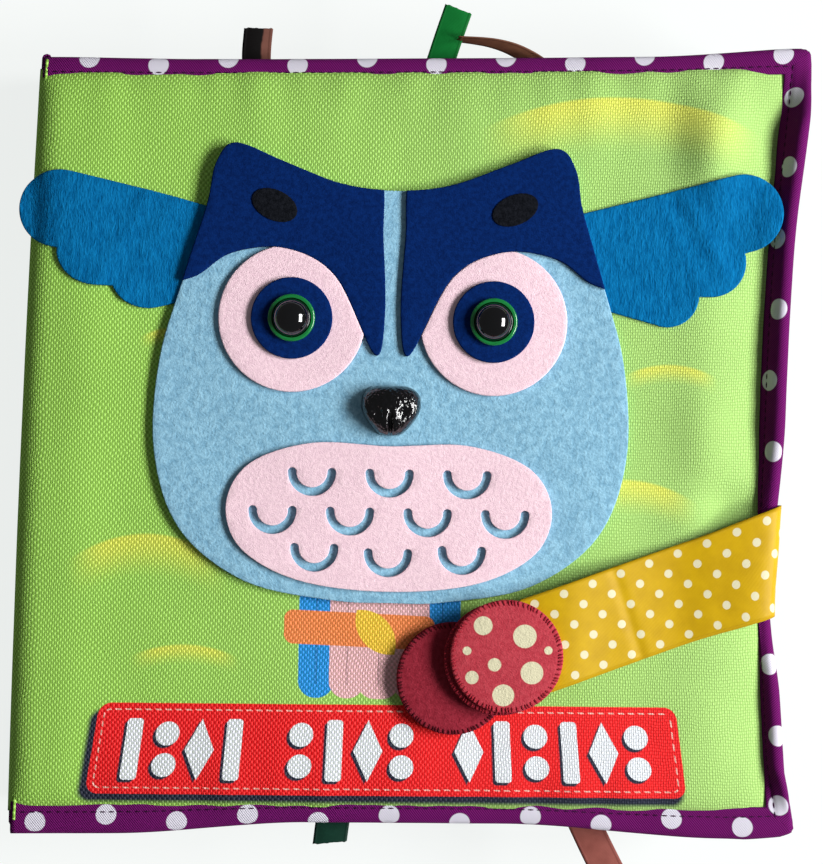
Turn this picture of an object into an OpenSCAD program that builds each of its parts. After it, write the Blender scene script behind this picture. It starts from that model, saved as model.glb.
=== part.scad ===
// Soft activity book: two padded cloth covers and a block of padded leaves, all bound in
// spotted tape, with a layered felt owl, plastic eyes and beak, and a ribbon strap on the front.
// Units are millimetres. The book lies closed on its back cover: +X runs from the spine to the
// fore-edge, +Y to the head of the book and +Z up. The origin is the middle of the bottom face.

/* [Book] */
// Width of the closed book, from the spine to the fore-edge
book_w = 200; // [190:1:230]
// Height of the book, from foot to head
book_h = 200; // [195:1:230]
// Thickness of one padded cover
cover_t = 9; // [8:0.5:12]
// Number of padded leaves between the covers
leaf_count = 4; // [2:1:6]
// Thickness of one padded leaf
leaf_t = 5; // [4.8:0.1:7]
// How far the leaves stay inside the covers at the free edges
leaf_inset = 2; // [1:0.5:4]
// Running gap between the covers, the leaves and the spine
body_gap = 0.3; // [0.2:0.05:0.6]

/* [Cloth and binding] */
// Thickness of the printed cloth and of the lining
cloth_t = 0.8; // [0.5:0.1:1]
// Thickness of a printed field of colour on the cloth
print_t = 0.15; // [0.1:0.05:0.2]
// Width of binding tape that shows on each face
tape_w = 7.5; // [6:0.5:9]
// Thickness of the binding tape
tape_t = 0.8; // [0.5:0.1:1]
// Thickness of the binding tape at the ends of the spine
spine_tape_t = 0.6; // [0.4:0.1:0.6]
// Thickness of a cover where it is squeezed into its binding
cover_edge_t = 3; // [2.4:0.1:3.4]
// Thickness of a leaf where it is squeezed into its binding
leaf_edge_t = 2.4; // [1.8:0.1:2.6]
// Length over which a cover tapers from its padding to its bound edge
cover_slope = 5.5; // [4:0.5:8]
// Length over which a leaf tapers from its padding to its bound edge
leaf_slope = 4; // [2:0.5:6]
// Height of the hinge line above the middle of the cover
hinge_rise = 1.9; // [1.7:0.1:2.2]

/* [Felt owl] */
// Place of the owl's centre line across the cover
owl_x = -6; // [-12:1:0]
// Thickness of one layer of felt
felt_t = 1.2; // [1:0.1:1.4]
// Thickness of the owl's body felt, which takes the wing roots underneath
body_felt_t = 2; // [1.8:0.1:3]
// Distance between the two eyes
eye_spacing = 52; // [48:1:54]
// Height of the eyes above the middle of the cover
eye_y = 31; // [30:0.5:33]
// Diameter of the pink patch behind each eye
eye_patch_d = 38; // [34:1:40]
// Reach of the left wing from its root
wing_left_l = 53.5; // [40:0.5:53.5]
// Reach of the right wing from its root
wing_right_l = 62; // [40:0.5:64]
// Diameter of the dark disc under each eye
eye_disc_d = 21; // [18:0.5:24]
// Height of the beak above the middle of the cover
beak_y = 7.5; // [7:0.5:9]
// Outer radius of one feather cut in the tummy patch
feather_cut_r = 6.2; // [5:0.1:6.8]
// Width of one feather cut in the tummy patch
feather_cut_w = 2.2; // [1.5:0.1:2.6]
// Clearance round a wing root in its pocket
pocket_gap = 0.2; // [0.1:0.05:0.4]

/* [Plastic eyes and beak] */
// Diameter of the coloured rim of an eye
eye_rim_d = 12.2; // [11:0.2:14]
// Height of the coloured rim of an eye
eye_rim_h = 1.5; // [1.2:0.1:2]
// Diameter of the black dome of an eye
eye_dome_d = 10.2; // [9:0.2:10.4]
// Height of the black dome of an eye
eye_dome_h = 4.2; // [3:0.1:5]
// Diameter of a shank
shank_d = 4; // [3:0.1:4.5]
// Clearance between a shank and what it passes through
shank_gap = 0.05; // [0.03:0.01:0.1]
// Depth of the grooves between the ribs of a shank
rib_depth = 0.4; // [0.2:0.05:0.6]
// Distance from one rib of a shank to the next
rib_pitch = 1; // [0.8:0.1:1.2]
// How far a shank reaches into the padding below its washer
shank_tail = 2; // [1:0.1:2.4]
// Diameter of a locking washer
washer_d = 11; // [8:0.5:12]
// Thickness of a locking washer
washer_t = 1.2; // [1:0.1:1.6]
// Width of the beak
beak_w = 15.5; // [14:0.5:16]
// Length of the beak
beak_l = 13; // [12:0.5:13]
// Height of the beak above the felt
beak_h = 6.4; // [5:0.1:8]

/* [Strap] */
// Width of the strap ribbon
strap_w = 25; // [20:1:26]
// Thickness of the strap ribbon
strap_t = 0.5; // [0.3:0.05:0.6]
// Slant of the strap across the cover, in degrees
strap_slant = 20; // [10:0.2:22]
// Diameter of the red discs
disc_d = 29; // [28:0.5:32]
// Thickness of the padded disc that is sewn to the cover
base_disc_t = 3; // [2:0.1:4]
// Diameter of the hook and loop patches
patch_d = 12; // [8:0.5:13]
// Thickness of a hook or loop patch
patch_t = 0.8; // [0.5:0.1:1.2]

/* [Ribbons] */
// Width of the ribbons at the head and foot of the leaves
ribbon_w = 7.5; // [5:0.5:9]
// Thickness of those ribbons
ribbon_t = 0.4; // [0.3:0.05:0.5]

/* [Hidden] */
$fn = 64;
far = 500;
eps = 0.01;

// Stack of the closed book, from the table up.
back_mid_z = cover_t / 2;
pages_z = cover_t + body_gap;
pages_t = leaf_count * leaf_t;
front_mid_z = pages_z + pages_t + body_gap + cover_t / 2;
half_w = book_w / 2;
half_h = book_h / 2;

// Spine: one strip of cloth, with a hinge line near each end of it.
spine_in_x = -half_w + cloth_t;
roll_r = cover_t / 2;
roll_x = spine_in_x + body_gap + roll_r;
hinge_x = -half_w + cloth_t / 2;
front_hinge_z = front_mid_z + hinge_rise;
back_hinge_z = back_mid_z - hinge_rise;
echo(front_hinge_m = [hinge_x, 0, front_hinge_z] / 1000, back_hinge_m = [hinge_x, 0, back_hinge_z] / 1000);

// Bound edge of a cover, in the cover's own frame: its middle plane is z = 0, outside up.
edge_out = cover_edge_t + 2 * tape_t;
edge_left_x = roll_x - 1;
slope_x = half_w - tape_w;
slope_y = half_h - tape_w;
top_z = cover_t / 2;

// Bound edge of a leaf.
leaf_half_w = half_w - leaf_inset;
leaf_half_h = half_h - leaf_inset;
leaf_edge_out = leaf_edge_t + 2 * tape_t;
leaf_left_x = spine_in_x + spine_tape_t + 0.1;

// Levels of the layers on the front cover, in the cover's own frame.
wing_z = top_z;
patch_z = top_z + body_felt_t;
disc_z = patch_z + felt_t;
eye_z = disc_z + felt_t;
washer_z = top_z - cloth_t - washer_t;
shank_end_z = washer_z - shank_tail;

// Strap: a padded disc on the cover, two patches, and two discs sewn over the ribbon's end.
strap_x = 25;
strap_y = 45.4 - half_h;
cover_disc_x = strap_x - 13.6;
cover_disc_y = strap_y - 6.4;
disc_gap_x = (strap_x + cover_disc_x) / 2;
disc_gap_y = (strap_y + cover_disc_y) / 2;
loop_z = top_z + base_disc_t;
hook_z = loop_z + patch_t;
strap_back_z = hook_z + patch_t;
strap_back_t = felt_t + strap_t;
strap_front_z = strap_back_z + strap_back_t;
strap_lift = 0.05;

// Round solid along the X or Y axis, from a profile drawn as (across, up).
module along_y(length) rotate([90, 0, 0]) linear_extrude(length, center = true) children();
module along_x(length) rotate([90, 0, 90]) linear_extrude(length, center = true) children();

// Flat bar with round ends, from x = a to x = b.
module bar(a, b, t) {
  for (x = [a + t / 2, b - t / 2]) translate([x, 0]) circle(d = t);
  translate([a + t / 2, -t / 2]) square([b - a - t, t]);
}

// Slab with half-round edges: from x = a to x = b, and from y = -h to y = h.
module round_slab(a, b, h, t) intersection() {
  along_y(2 * h + 1) bar(a, b, t);
  along_x(far) bar(-h, h, t);
}

// Closed smooth curve through the given points, with steps points to each span.
function spline(p, a, b, c, d) =
  0.5 * (2 * b + (c - a) * p + (2 * a - 5 * b + 4 * c - d) * p * p + (3 * b - a - 3 * c + d) * p * p * p);
function smooth_loop(pts, steps = 8) = let (n = len(pts)) [
  for (i = [0 : n - 1], s = [0 : steps - 1])
    spline(s / steps, pts[(i + n - 1) % n], pts[i], pts[(i + 1) % n], pts[(i + 2) % n])
];
// The right half of a shape, first and last points on its centre line, made whole.
function mirrored(half) = concat(half, [for (i = [len(half) - 2 : -1 : 1]) [-half[i].x, half[i].y]]);

// Ribbon of width w and thickness t: each station is [x, y, z, width direction, normal].
function ribbon_ring(s, w, t) = let (p = [s[0], s[1], s[2]], a = s[3] * w / 2, n = s[4] * t / 2)
  [p - a - n, p + a - n, p + a + n, p - a + n];
module ribbon(stations, w, t) {
  n = len(stations);
  points = [for (s = stations) each ribbon_ring(s, w, t)];
  sides = [for (i = [0 : n - 2], k = [0 : 3]) let (a = 4 * i + k, b = 4 * i + (k + 1) % 4)
    each [[a, b, b + 4], [a, b + 4, a + 4]]];
  polyhedron(points, concat([[3, 2, 1, 0]], sides, [[4 * n - 4, 4 * n - 3, 4 * n - 2, 4 * n - 1]]));
}

// Envelope of a padded cover, taken in by d on every face.
module cover_envelope(d) {
  h = top_z - d;
  e = cover_edge_t / 2 - d;
  intersection() {
    along_y(far) {
      translate([roll_x, 0]) circle(r = h);
      polygon([[roll_x, -h], [slope_x - cover_slope, -h], [slope_x, -e], [slope_x, e],
        [slope_x - cover_slope, h], [roll_x, h]]);
    }
    along_x(far) polygon([for (s = [1, -1]) each [[-s * slope_y, s * e], [s * (cover_slope - slope_y), s * h],
      [s * (slope_y - cover_slope), s * h], [s * slope_y, s * e]]]);
  }
  round_slab(edge_left_x + d, half_w - tape_t - d, half_h - tape_t - d, cover_edge_t - 2 * d);
}

module cover_skin() difference() {
  cover_envelope(0);
  cover_envelope(cloth_t);
}

module outer_side() {
  translate([-far / 2, -far / 2, 0]) cube([far, far, far]);
  translate([-far + roll_x, -far / 2, -far / 2]) cube([far, far, far]);
}

module cover_cloth() intersection() {
  cover_skin();
  outer_side();
}

module cover_lining() difference() {
  cover_skin();
  outer_side();
}

module cover_binding() difference() {
  round_slab(edge_left_x - tape_t, half_w, half_h, edge_out);
  round_slab(edge_left_x, half_w - tape_t, half_h - tape_t, cover_edge_t);
  translate([slope_x - far, -slope_y, -far / 2]) cube([far, 2 * slope_y, far]);
}

module on_front() translate([0, 0, front_mid_z]) children();
module on_back() translate([0, 0, back_mid_z]) mirror([0, 0, 1]) children();

// Fields of colour printed on the front cloth.
module hill(x, y, w, h) translate([x, y]) intersection() {
  translate([0, h - hill_r(w, h)]) circle(r = hill_r(w, h), $fn = 128);
  translate([-w, 0]) square([2 * w, 2 * h]);
}
function hill_r(w, h) = (w * w / 4 + h * h) / (2 * h);

module hills() {
  hill(53, half_h - 21, 52, 7.5);
  hill(26 - half_w, -32, 27, 7);
  hill(41.5 - half_w, 42 - half_h, 25, 4.5);
  hill(half_w - 30, 15, 17, 3.5);
  hill(half_w - 35, -21, 21, 8);
}

// The banner is set from the foot of the cover.
banner_y = 20 - half_h;
module title_banner() translate([0, banner_y]) polygon([[-82, 12.5], [-40, 10], [20, 10], [68, 11],
  [71.5, -11.5], [20, -11.5], [-40, -11], [-84.5, -11]]);

module perch() {
  translate([owl_x - 26, banner_y + 27]) square([54, 8.5]);
  translate([owl_x - 10, banner_y + 24]) square([8, 13]);
}

module tail() for (x = [-18, -9, 0, 9]) translate([owl_x + x, banner_y + 13]) square([8, 23]);

module cloth_print(z_step = 0) difference() {
  intersection() {
    cover_envelope(-print_t);
    linear_extrude(far) difference() {
      children();
      translate([cover_disc_x, cover_disc_y]) circle(d = disc_d + 0.4);
    }
  }
  cover_envelope(cloth_t / 2);
}

module shank_holes() {
  for (s = [-1, 1]) translate([owl_x + s * eye_spacing / 2, eye_y])
    cylinder(r = shank_d / 2 + shank_gap, h = far);
  translate([owl_x, beak_y]) cylinder(r = shank_d / 2 + shank_gap, h = far);
}

module front_cover_cloth() on_front() difference() {
  union() {
    color("yellowgreen") cover_cloth();
    color("khaki") cloth_print() hills();
    color("crimson") cloth_print() title_banner();
    color("coral") cloth_print() perch();
    color("lightpink") cloth_print() tail();
  }
  shank_holes();
}

module washer_pocket() translate([0, 0, shank_end_z - 0.2])
  cylinder(d = washer_d + 0.6, h = top_z - cloth_t - shank_end_z + 0.2);

module front_cover_wadding() on_front() color("white") difference() {
  cover_envelope(cloth_t);
  for (s = [-1, 1]) translate([owl_x + s * eye_spacing / 2, eye_y]) washer_pocket();
  translate([owl_x, beak_y]) washer_pocket();
}

module front_cover_lining() on_front() color("lightyellow") cover_lining();
module front_binding() on_front() color("purple") cover_binding();
module back_cover_cloth() on_back() color("yellowgreen") cover_cloth();
module back_cover_wadding() on_back() color("white") cover_envelope(cloth_t);
module back_cover_lining() on_back() color("lightyellow") cover_lining();
module back_binding() on_back() color("purple") cover_binding();

// Outlines of the felt owl, drawn about its centre line.
body_half = [[0, 64.5], [14, 66], [29, 71.5], [41.5, 76], [46.5, 70.5], [48.5, 60], [54, 42], [60, 20],
  [61, -4], [54, -24], [37, -37], [15, -41.5], [0, -42]];
brow = [[4.5, 70], [20, 80], [46, 90], [64, 70], [62, 42], [52, 41], [42, 47.5], [28, 49], [15, 42],
  [4.5, 22], [2, 32], [2.8, 52]];
tummy_half = [[0, -1.5], [20, -1], [36, -6.5], [42, -17], [38, -28.5], [23, -36.5], [0, -39]];
feather_cuts = [[-20, -8.5], [0, -8.5], [20, -8.5], [-30, -18.5], [-10, -18.5], [10, -18.5], [30, -18.5],
  [-19, -28], [0, -29], [19, -28]];

module owl_place(z) on_front() translate([owl_x, 0, z]) children();
module owl_side(side, z) owl_place(z) mirror([side < 0 ? 1 : 0, 0, 0]) children();

module body_outline() polygon(smooth_loop(mirrored(body_half)));
module brow_outline() polygon(smooth_loop(brow));

// One feather of a wing: a bar with round ends, from the wing root outwards.
wing_root = [40, 47];
feathers = [[0, 20, 15], [11, 18, 1], [22, 16, -15]];
module wing_outline(reach, grow = 0) for (f = feathers)
  translate(wing_root) rotate(f[2]) bar(-f[1] / 2 - grow, reach - f[0] + grow, f[1] + 2 * grow);

module eye_at(z) owl_place(z) translate([0, eye_y, 0]) children();
module shank_bore() cylinder(r = shank_d / 2 + shank_gap, h = 20, center = true);

module owl_body_felt() owl_place(wing_z) color("skyblue") difference() {
  linear_extrude(body_felt_t) body_outline();
  for (s = [0, 1]) mirror([s, 0, 0]) {
    translate([0, 0, -eps]) linear_extrude(felt_t + eps) wing_outline(wing_left_l, pocket_gap);
    translate([eye_spacing / 2, eye_y, 0]) shank_bore();
  }
  translate([0, beak_y, 0]) shank_bore();
}

module owl_wing(side) owl_side(side, wing_z) color("dodgerblue")
  linear_extrude(felt_t) wing_outline(side < 0 ? wing_left_l : wing_right_l);
module owl_brow(side) owl_side(side, patch_z) color("navy") linear_extrude(felt_t) intersection() {
  body_outline();
  brow_outline();
}
module tuft_spot(side) owl_side(side, disc_z) color("black") translate([31, 60, 0]) rotate(24)
  linear_extrude(0.3) polygon([for (a = [0 : 15 : 345]) [6.2 * cos(a), 3.9 * sin(a)]]);

module eye_patch(side) owl_side(side, patch_z) color("pink") difference() {
  linear_extrude(felt_t) difference() {
    translate([eye_spacing / 2, eye_y]) circle(d = eye_patch_d);
    brow_outline();
  }
  translate([eye_spacing / 2, eye_y, 0]) shank_bore();
}

module eye_disc(side) owl_side(side, disc_z) color("navy") translate([eye_spacing / 2, eye_y, 0])
  difference() {
    cylinder(d = eye_disc_d, h = felt_t);
    shank_bore();
  }

module feather_cut() {
  mid_r = feather_cut_r - feather_cut_w / 2;
  difference() {
    circle(r = feather_cut_r);
    circle(r = feather_cut_r - feather_cut_w);
    translate([-far / 2, 0]) square([far, far]);
  }
  for (s = [-1, 1]) translate([s * mid_r, 0]) circle(d = feather_cut_w);
}

module owl_tummy_felt() owl_place(patch_z) color("pink") linear_extrude(felt_t) difference() {
  polygon(smooth_loop(mirrored(tummy_half)));
  for (p = feather_cuts) translate(p) feather_cut();
}

// Ribbed shank that hangs from z = 0, with a plain stretch above its ribs.
module shank(length, ribbed) {
  ribs = floor(ribbed / rib_pitch);
  translate([0, 0, -length]) rotate_extrude() polygon(concat(
    [[0, length + eps], [0, 0], [shank_d / 2 - rib_depth, 0]],
    [for (i = [0 : ribs - 1]) each [[shank_d / 2 - rib_depth, (i + 0.1) * rib_pitch],
      [shank_d / 2, (i + 0.6) * rib_pitch], [shank_d / 2, (i + 0.8) * rib_pitch],
      [shank_d / 2 - rib_depth, (i + 1) * rib_pitch]]],
    [[shank_d / 2, ribs * rib_pitch + rib_depth], [shank_d / 2, length + eps]]));
}

dome_seat = eye_rim_h - 0.7;
module eye_rim(side) owl_side(side, eye_z) color("limegreen") translate([eye_spacing / 2, eye_y, 0])
  rotate_extrude() difference() {
    union() {
      translate([0, 0]) square([eye_rim_d / 2 - 0.5, eye_rim_h]);
      square([eye_rim_d / 2, eye_rim_h - 0.5]);
      translate([eye_rim_d / 2 - 0.5, eye_rim_h - 0.5]) circle(r = 0.5);
    }
    translate([-1, -1]) square([shank_d / 2 + shank_gap + 1, far]);
    translate([-1, dome_seat]) square([eye_dome_d / 2 + 0.05 + 1, far]);
  }

dome_r = (eye_dome_d * eye_dome_d / 4 + eye_dome_h * eye_dome_h) / (2 * eye_dome_h);
module eye_dome(side) owl_side(side, eye_z + dome_seat) color("black")
  translate([eye_spacing / 2, eye_y, 0]) {
    rotate_extrude() intersection() {
      translate([0, eye_dome_h - dome_r]) circle(r = dome_r);
      square([eye_dome_d, eye_dome_h]);
    }
    shank(eye_z + dome_seat - shank_end_z, washer_t + shank_tail + 1);
  }

module locking_washer() difference() {
  union() {
    cylinder(d = washer_d, h = washer_t);
    translate([0, 0, -0.8]) cylinder(d = shank_d + 3, h = 0.8 + eps);
  }
  cylinder(r = shank_d / 2 + shank_gap, h = 20, center = true);
  for (a = [0 : 45 : 315]) rotate(a) translate([shank_d / 2 + 2.2, -0.25, washer_t - 0.4])
    cube([washer_d, 0.5, 1]);
}
module eye_washer(side) owl_side(side, washer_z) color("white")
  translate([eye_spacing / 2, eye_y, 0]) locking_washer();
module beak_washer() owl_place(washer_z) color("white") translate([0, beak_y, 0]) locking_washer();

// Moulded beak: a rounded triangle, point down, with a groove from its point.
module beak() owl_place(patch_z) color("black") translate([0, beak_y, 0]) {
  r = 4.2;
  difference() {
    intersection() {
      hull() {
        for (s = [-1, 1]) translate([s * (beak_w / 2 - r), beak_l / 2 - r, 1.2]) sphere(r = r, $fn = 32);
        translate([0, r * 0.8 - beak_l / 2, 1]) sphere(r = r * 0.8, $fn = 32);
        translate([0, 1, beak_h - r]) sphere(r = r, $fn = 32);
      }
      translate([-beak_w, -beak_l, 0]) cube([2 * beak_w, 2 * beak_l, beak_h]);
    }
    translate([0, -beak_l / 2 - 0.3, 4]) rotate([-35, 0, 0])
      cylinder(r = 0.7, h = 12, center = true, $fn = 16);
  }
  shank(patch_z - shank_end_z, washer_t + shank_tail + 1);
}

// Strap: the ribbon runs from the disc over the fore-edge and back under it.
strap_run = strap_w / cos(strap_slant);
fold_x = half_w - edge_out / 2;
fold_r = edge_out / 2 + strap_lift + strap_t / 2;
strap_end_x = strap_x + 3;
function strap_at(x, z, n = [0, 0, 1]) = [x, strap_y + (x - strap_x) * tan(strap_slant), z, [0, 1, 0], n];
strap_stations = concat(
  [strap_at(strap_end_x, strap_front_z - strap_t / 2),
    strap_at(strap_x + disc_d / 2 + 0.5, strap_front_z - strap_t / 2),
    strap_at(slope_x - cover_slope - 3, top_z + strap_t / 2 + 0.25),
    strap_at(slope_x - cover_slope + 1, top_z + strap_t / 2)],
  [for (a = [90 : -22.5 : -90]) strap_at(fold_x + fold_r * cos(a), fold_r * sin(a), [cos(a), 0, sin(a)])],
  [strap_at(slope_x + 0.8, -fold_r, [0, 0, -1])]);
module strap_ribbon() on_front() color("gold") ribbon(strap_stations, strap_run, strap_t);

strap_seat_corners = [[strap_end_x - 0.1, -1], [half_w, -1], [half_w, 1], [strap_end_x - 0.1, 1]];
module strap_seat() translate([0, 0, -eps]) linear_extrude(10) polygon([for (c = strap_seat_corners)
  [c[0], strap_y + (c[0] - strap_x) * tan(strap_slant) + c[1] * (strap_run / 2 + 0.1)]]);

module at_strap(z) on_front() translate([strap_x, strap_y, z]) children();
// Spots of the front disc: each is [x, y, diameter] from the disc's centre.
spots = [[-6.2, 7.8, 4.8], [4.5, 5.3, 6], [-10.2, 1.3, 2.2], [-3.1, -2.1, 3.4], [6.5, -4, 5.8],
  [-8.8, -5.5, 3.4], [-0.7, -9.9, 5.6], [10.6, 1.8, 2.1]];
module strap_disc_front() at_strap(strap_front_z) {
  color("indianred") cylinder(d = disc_d, h = felt_t);
  color("beige") for (s = spots) translate([s[0], s[1], felt_t - eps]) cylinder(d = s[2], h = print_t + eps);
}
module strap_disc_back() on_front() color("firebrick") difference() {
  translate([strap_x, strap_y, strap_back_z]) cylinder(d = disc_d, h = strap_back_t);
  translate([0, 0, strap_front_z - strap_t]) strap_seat();
}
module strap_hook_patch() on_front() color("dimgray") translate([disc_gap_x, disc_gap_y, hook_z])
  cylinder(d = patch_d, h = patch_t);
module cover_loop_patch() on_front() color("gray") translate([disc_gap_x, disc_gap_y, loop_z])
  cylinder(d = patch_d, h = patch_t);
module cover_disc() on_front() color("darkred") translate([cover_disc_x, cover_disc_y, top_z])
  cylinder(d = disc_d, h = base_disc_t);

// Leaves: one block whose padded leaves part towards their bound edges.
leaf_slope_x = leaf_half_w - tape_w;
leaf_slope_y = leaf_half_h - tape_w;
function leaf_mid(i) = pages_z + leaf_t * (i + 0.5);
module leaf_half_profile(x, slope) for (i = [0 : leaf_count - 1]) translate([0, leaf_mid(i)])
  polygon([[-far, -leaf_t / 2], [x - slope, -leaf_t / 2], [x, -leaf_edge_t / 2], [x, leaf_edge_t / 2],
    [x - slope, leaf_t / 2], [-far, leaf_t / 2]]);
module leaf_edge(i) translate([0, 0, leaf_mid(i)])
  round_slab(leaf_left_x - leaf_edge_t / 2, leaf_half_w - tape_t, leaf_half_h - tape_t, leaf_edge_t);
module right_of_spine(x) translate([x, -far / 2, -far / 2]) cube([far, far, far]);

module page_block() color("ivory") {
  intersection() {
    along_y(far) leaf_half_profile(leaf_slope_x, leaf_slope);
    along_x(far) intersection() {
      leaf_half_profile(leaf_slope_y, leaf_slope);
      mirror([1, 0]) leaf_half_profile(leaf_slope_y, leaf_slope);
    }
    right_of_spine(spine_in_x);
  }
  for (i = [0 : leaf_count - 1]) intersection() {
    leaf_edge(i);
    right_of_spine(leaf_left_x);
  }
}

module page_binding(i) color("purple") difference() {
  intersection() {
    translate([0, 0, leaf_mid(i)])
      round_slab(leaf_left_x - leaf_edge_out / 2, leaf_half_w, leaf_half_h, leaf_edge_out);
    right_of_spine(leaf_left_x);
  }
  leaf_edge(i);
  translate([leaf_slope_x - far, -leaf_slope_y, 0]) cube([far, 2 * leaf_slope_y, far]);
}

module spine_cloth() color("yellowgreen") translate([-half_w, tape_t - half_h, back_hinge_z])
  cube([cloth_t, 2 * (half_h - tape_t), front_hinge_z - back_hinge_z]);

module spine_binding(side) color("purple") difference() {
  z0 = back_mid_z + cover_edge_t / 2 + body_gap;
  z1 = front_mid_z - cover_edge_t / 2 - body_gap;
  translate([-half_w - spine_tape_t, side > 0 ? slope_y : -half_h, z0])
    cube([cloth_t + 2 * spine_tape_t, tape_w, z1 - z0]);
  translate([-half_w, tape_t - half_h, 0]) cube([cloth_t, 2 * (half_h - tape_t), far]);
}

// Ribbons sewn to the top leaf, over its binding, at the head and the foot.
seat_z = leaf_mid(leaf_count - 1) + leaf_edge_out / 2 + ribbon_t / 2;
up = [0, 0, 1];
function slanted(a) = [cos(a), sin(a), 0];
module ribbon_head_brown() color("saddlebrown") ribbon([
  [-43.4, leaf_half_h - 5, seat_z, slanted(0), up], [-43.4, leaf_half_h + 3, seat_z, slanted(0), up],
  [-43, leaf_half_h + 9, seat_z + 0.8, slanted(0), up]], ribbon_w, ribbon_t);
module ribbon_head_green() color("seagreen") ribbon([
  [2.8, leaf_half_h - 5, seat_z, slanted(-16), up],
  [4.6, leaf_half_h + 1, seat_z, slanted(-16), up],
  [6.6, leaf_half_h + 8, seat_z + 1, slanted(-18), up],
  [9.2, leaf_half_h + 15, seat_z + 2.4, slanted(-22), up]], ribbon_w, ribbon_t);
module ribbon_head_bronze() color("sienna") ribbon([
  [35, leaf_half_h - 5, seat_z, slanted(20), up], [33, leaf_half_h, seat_z, slanted(20), up],
  [30.4, leaf_half_h + 3.8, seat_z + 0.9, [0.75, 0.3, 0.59], [-0.55, -0.2, 0.81]],
  [25, leaf_half_h + 7.4, seat_z + 2.2, [0.2, 0.1, 0.97], [-0.4, -0.88, 0.17]],
  [18.5, leaf_half_h + 9.4, seat_z + 2.6, [0, 0, 1], [-0.2, -0.98, 0]],
  [13.5, leaf_half_h + 9.8, seat_z + 2.6, [0, 0, 1], [0, -1, 0]]], ribbon_w * 0.7, ribbon_t);
module ribbon_foot_green() color("darkgreen") ribbon([
  [-18, 5 - leaf_half_h, seat_z, slanted(0), up], [-18.8, -leaf_half_h - 1, seat_z, slanted(0), up],
  [-20, -leaf_half_h - 7.6, seat_z + 0.6, slanted(6), up]], ribbon_w * 1.2, ribbon_t);
module ribbon_foot_brown() color("sienna") ribbon([
  [43.6, 5 - leaf_half_h, seat_z, slanted(28), up],
  [47, -leaf_half_h - 2, seat_z, slanted(28), up],
  [50.8, -leaf_half_h - 9, seat_z - 0.3, slanted(29), up],
  [55.2, -leaf_half_h - 16.5, seat_z - 0.8, slanted(30), up]], ribbon_w * 1.15, ribbon_t);

front_cover_cloth();
front_cover_wadding();
front_cover_lining();
front_binding();
owl_body_felt();
owl_brow(-1);  // owl_brow_left
owl_brow(1);  // owl_brow_right
owl_tummy_felt();
owl_wing(-1);  // owl_wing_left
owl_wing(1);  // owl_wing_right
tuft_spot(-1);  // tuft_spot_left
tuft_spot(1);  // tuft_spot_right
eye_patch(-1);  // eye_patch_left
eye_patch(1);  // eye_patch_right
eye_disc(-1);  // eye_disc_left
eye_disc(1);  // eye_disc_right
eye_rim(-1);  // eye_rim_left
eye_rim(1);  // eye_rim_right
eye_dome(-1);  // eye_dome_left
eye_dome(1);  // eye_dome_right
eye_washer(-1);  // eye_washer_left
eye_washer(1);  // eye_washer_right
beak();
beak_washer();
strap_ribbon();
strap_disc_front();
strap_disc_back();
strap_hook_patch();
cover_loop_patch();
cover_disc();
page_block();
page_binding(0);  // page_binding_1
page_binding(1);  // page_binding_2
page_binding(2);  // page_binding_3
page_binding(3);  // page_binding_4
spine_cloth();
spine_binding(1);  // spine_binding_head
spine_binding(-1);  // spine_binding_foot
ribbon_head_brown();
ribbon_head_green();
ribbon_head_bronze();
ribbon_foot_green();
ribbon_foot_brown();
back_cover_cloth();
back_cover_wadding();
back_cover_lining();
back_binding();
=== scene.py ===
"""Looks of a padded cloth book: bound covers and leaves, a layered felt owl, and a ribbon strap.

Sizes and places are millimetres in the part's own frame, and a mesh is made metres when it is finished.
"""

import bisect
import logging
import math
from dataclasses import dataclass, field
from enum import Enum
from typing import Callable, Sequence

import bmesh
import bpy
from mathutils import Matrix, Vector, noise


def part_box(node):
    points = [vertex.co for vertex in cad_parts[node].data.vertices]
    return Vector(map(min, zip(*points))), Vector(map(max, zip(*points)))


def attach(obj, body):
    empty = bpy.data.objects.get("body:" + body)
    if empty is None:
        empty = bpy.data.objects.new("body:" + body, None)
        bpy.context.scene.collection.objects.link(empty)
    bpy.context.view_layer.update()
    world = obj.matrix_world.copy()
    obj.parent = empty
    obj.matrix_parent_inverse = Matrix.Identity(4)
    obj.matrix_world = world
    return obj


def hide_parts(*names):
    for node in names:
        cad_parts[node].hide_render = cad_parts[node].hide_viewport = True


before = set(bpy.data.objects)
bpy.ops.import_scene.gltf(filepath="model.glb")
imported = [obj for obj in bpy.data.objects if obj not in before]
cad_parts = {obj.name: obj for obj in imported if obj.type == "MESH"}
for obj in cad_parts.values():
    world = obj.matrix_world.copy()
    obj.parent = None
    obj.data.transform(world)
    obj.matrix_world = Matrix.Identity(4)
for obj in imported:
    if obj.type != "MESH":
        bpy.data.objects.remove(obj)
log = logging.getLogger("book")

MM = 0.001
Colour = tuple[float, float, float, float]
Point = tuple[float, float]
Place = Callable[[float, float], Vector]


def srgb(red: float, green: float, blue: float) -> Colour:
    """A linear colour from the 0 to 255 values of a screen colour."""
    def linear(value: float) -> float:
        share = value / 255
        return share / 12.92 if share <= 0.04045 else ((share + 0.055) / 1.055) ** 2.4
    return (linear(red), linear(green), linear(blue), 1.0)


def smooth(low: float, high: float, value: float) -> float:
    """A smooth step of value from 0 at low to 1 at high."""
    t = min(max((value - low) / (high - low), 0.0), 1.0)
    return t * t * (3 - 2 * t)


def lerp(a: float, b: float, t: float) -> float:
    """The value at share t of the way from a to b."""
    return a + (b - a) * t


def wave(x: float, y: float, size: float, seed: float = 0.0) -> float:
    """Smooth noise from -1 to 1 whose features are about size millimetres wide."""
    return noise.noise(Vector((x / size, y / size, seed)))


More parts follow.
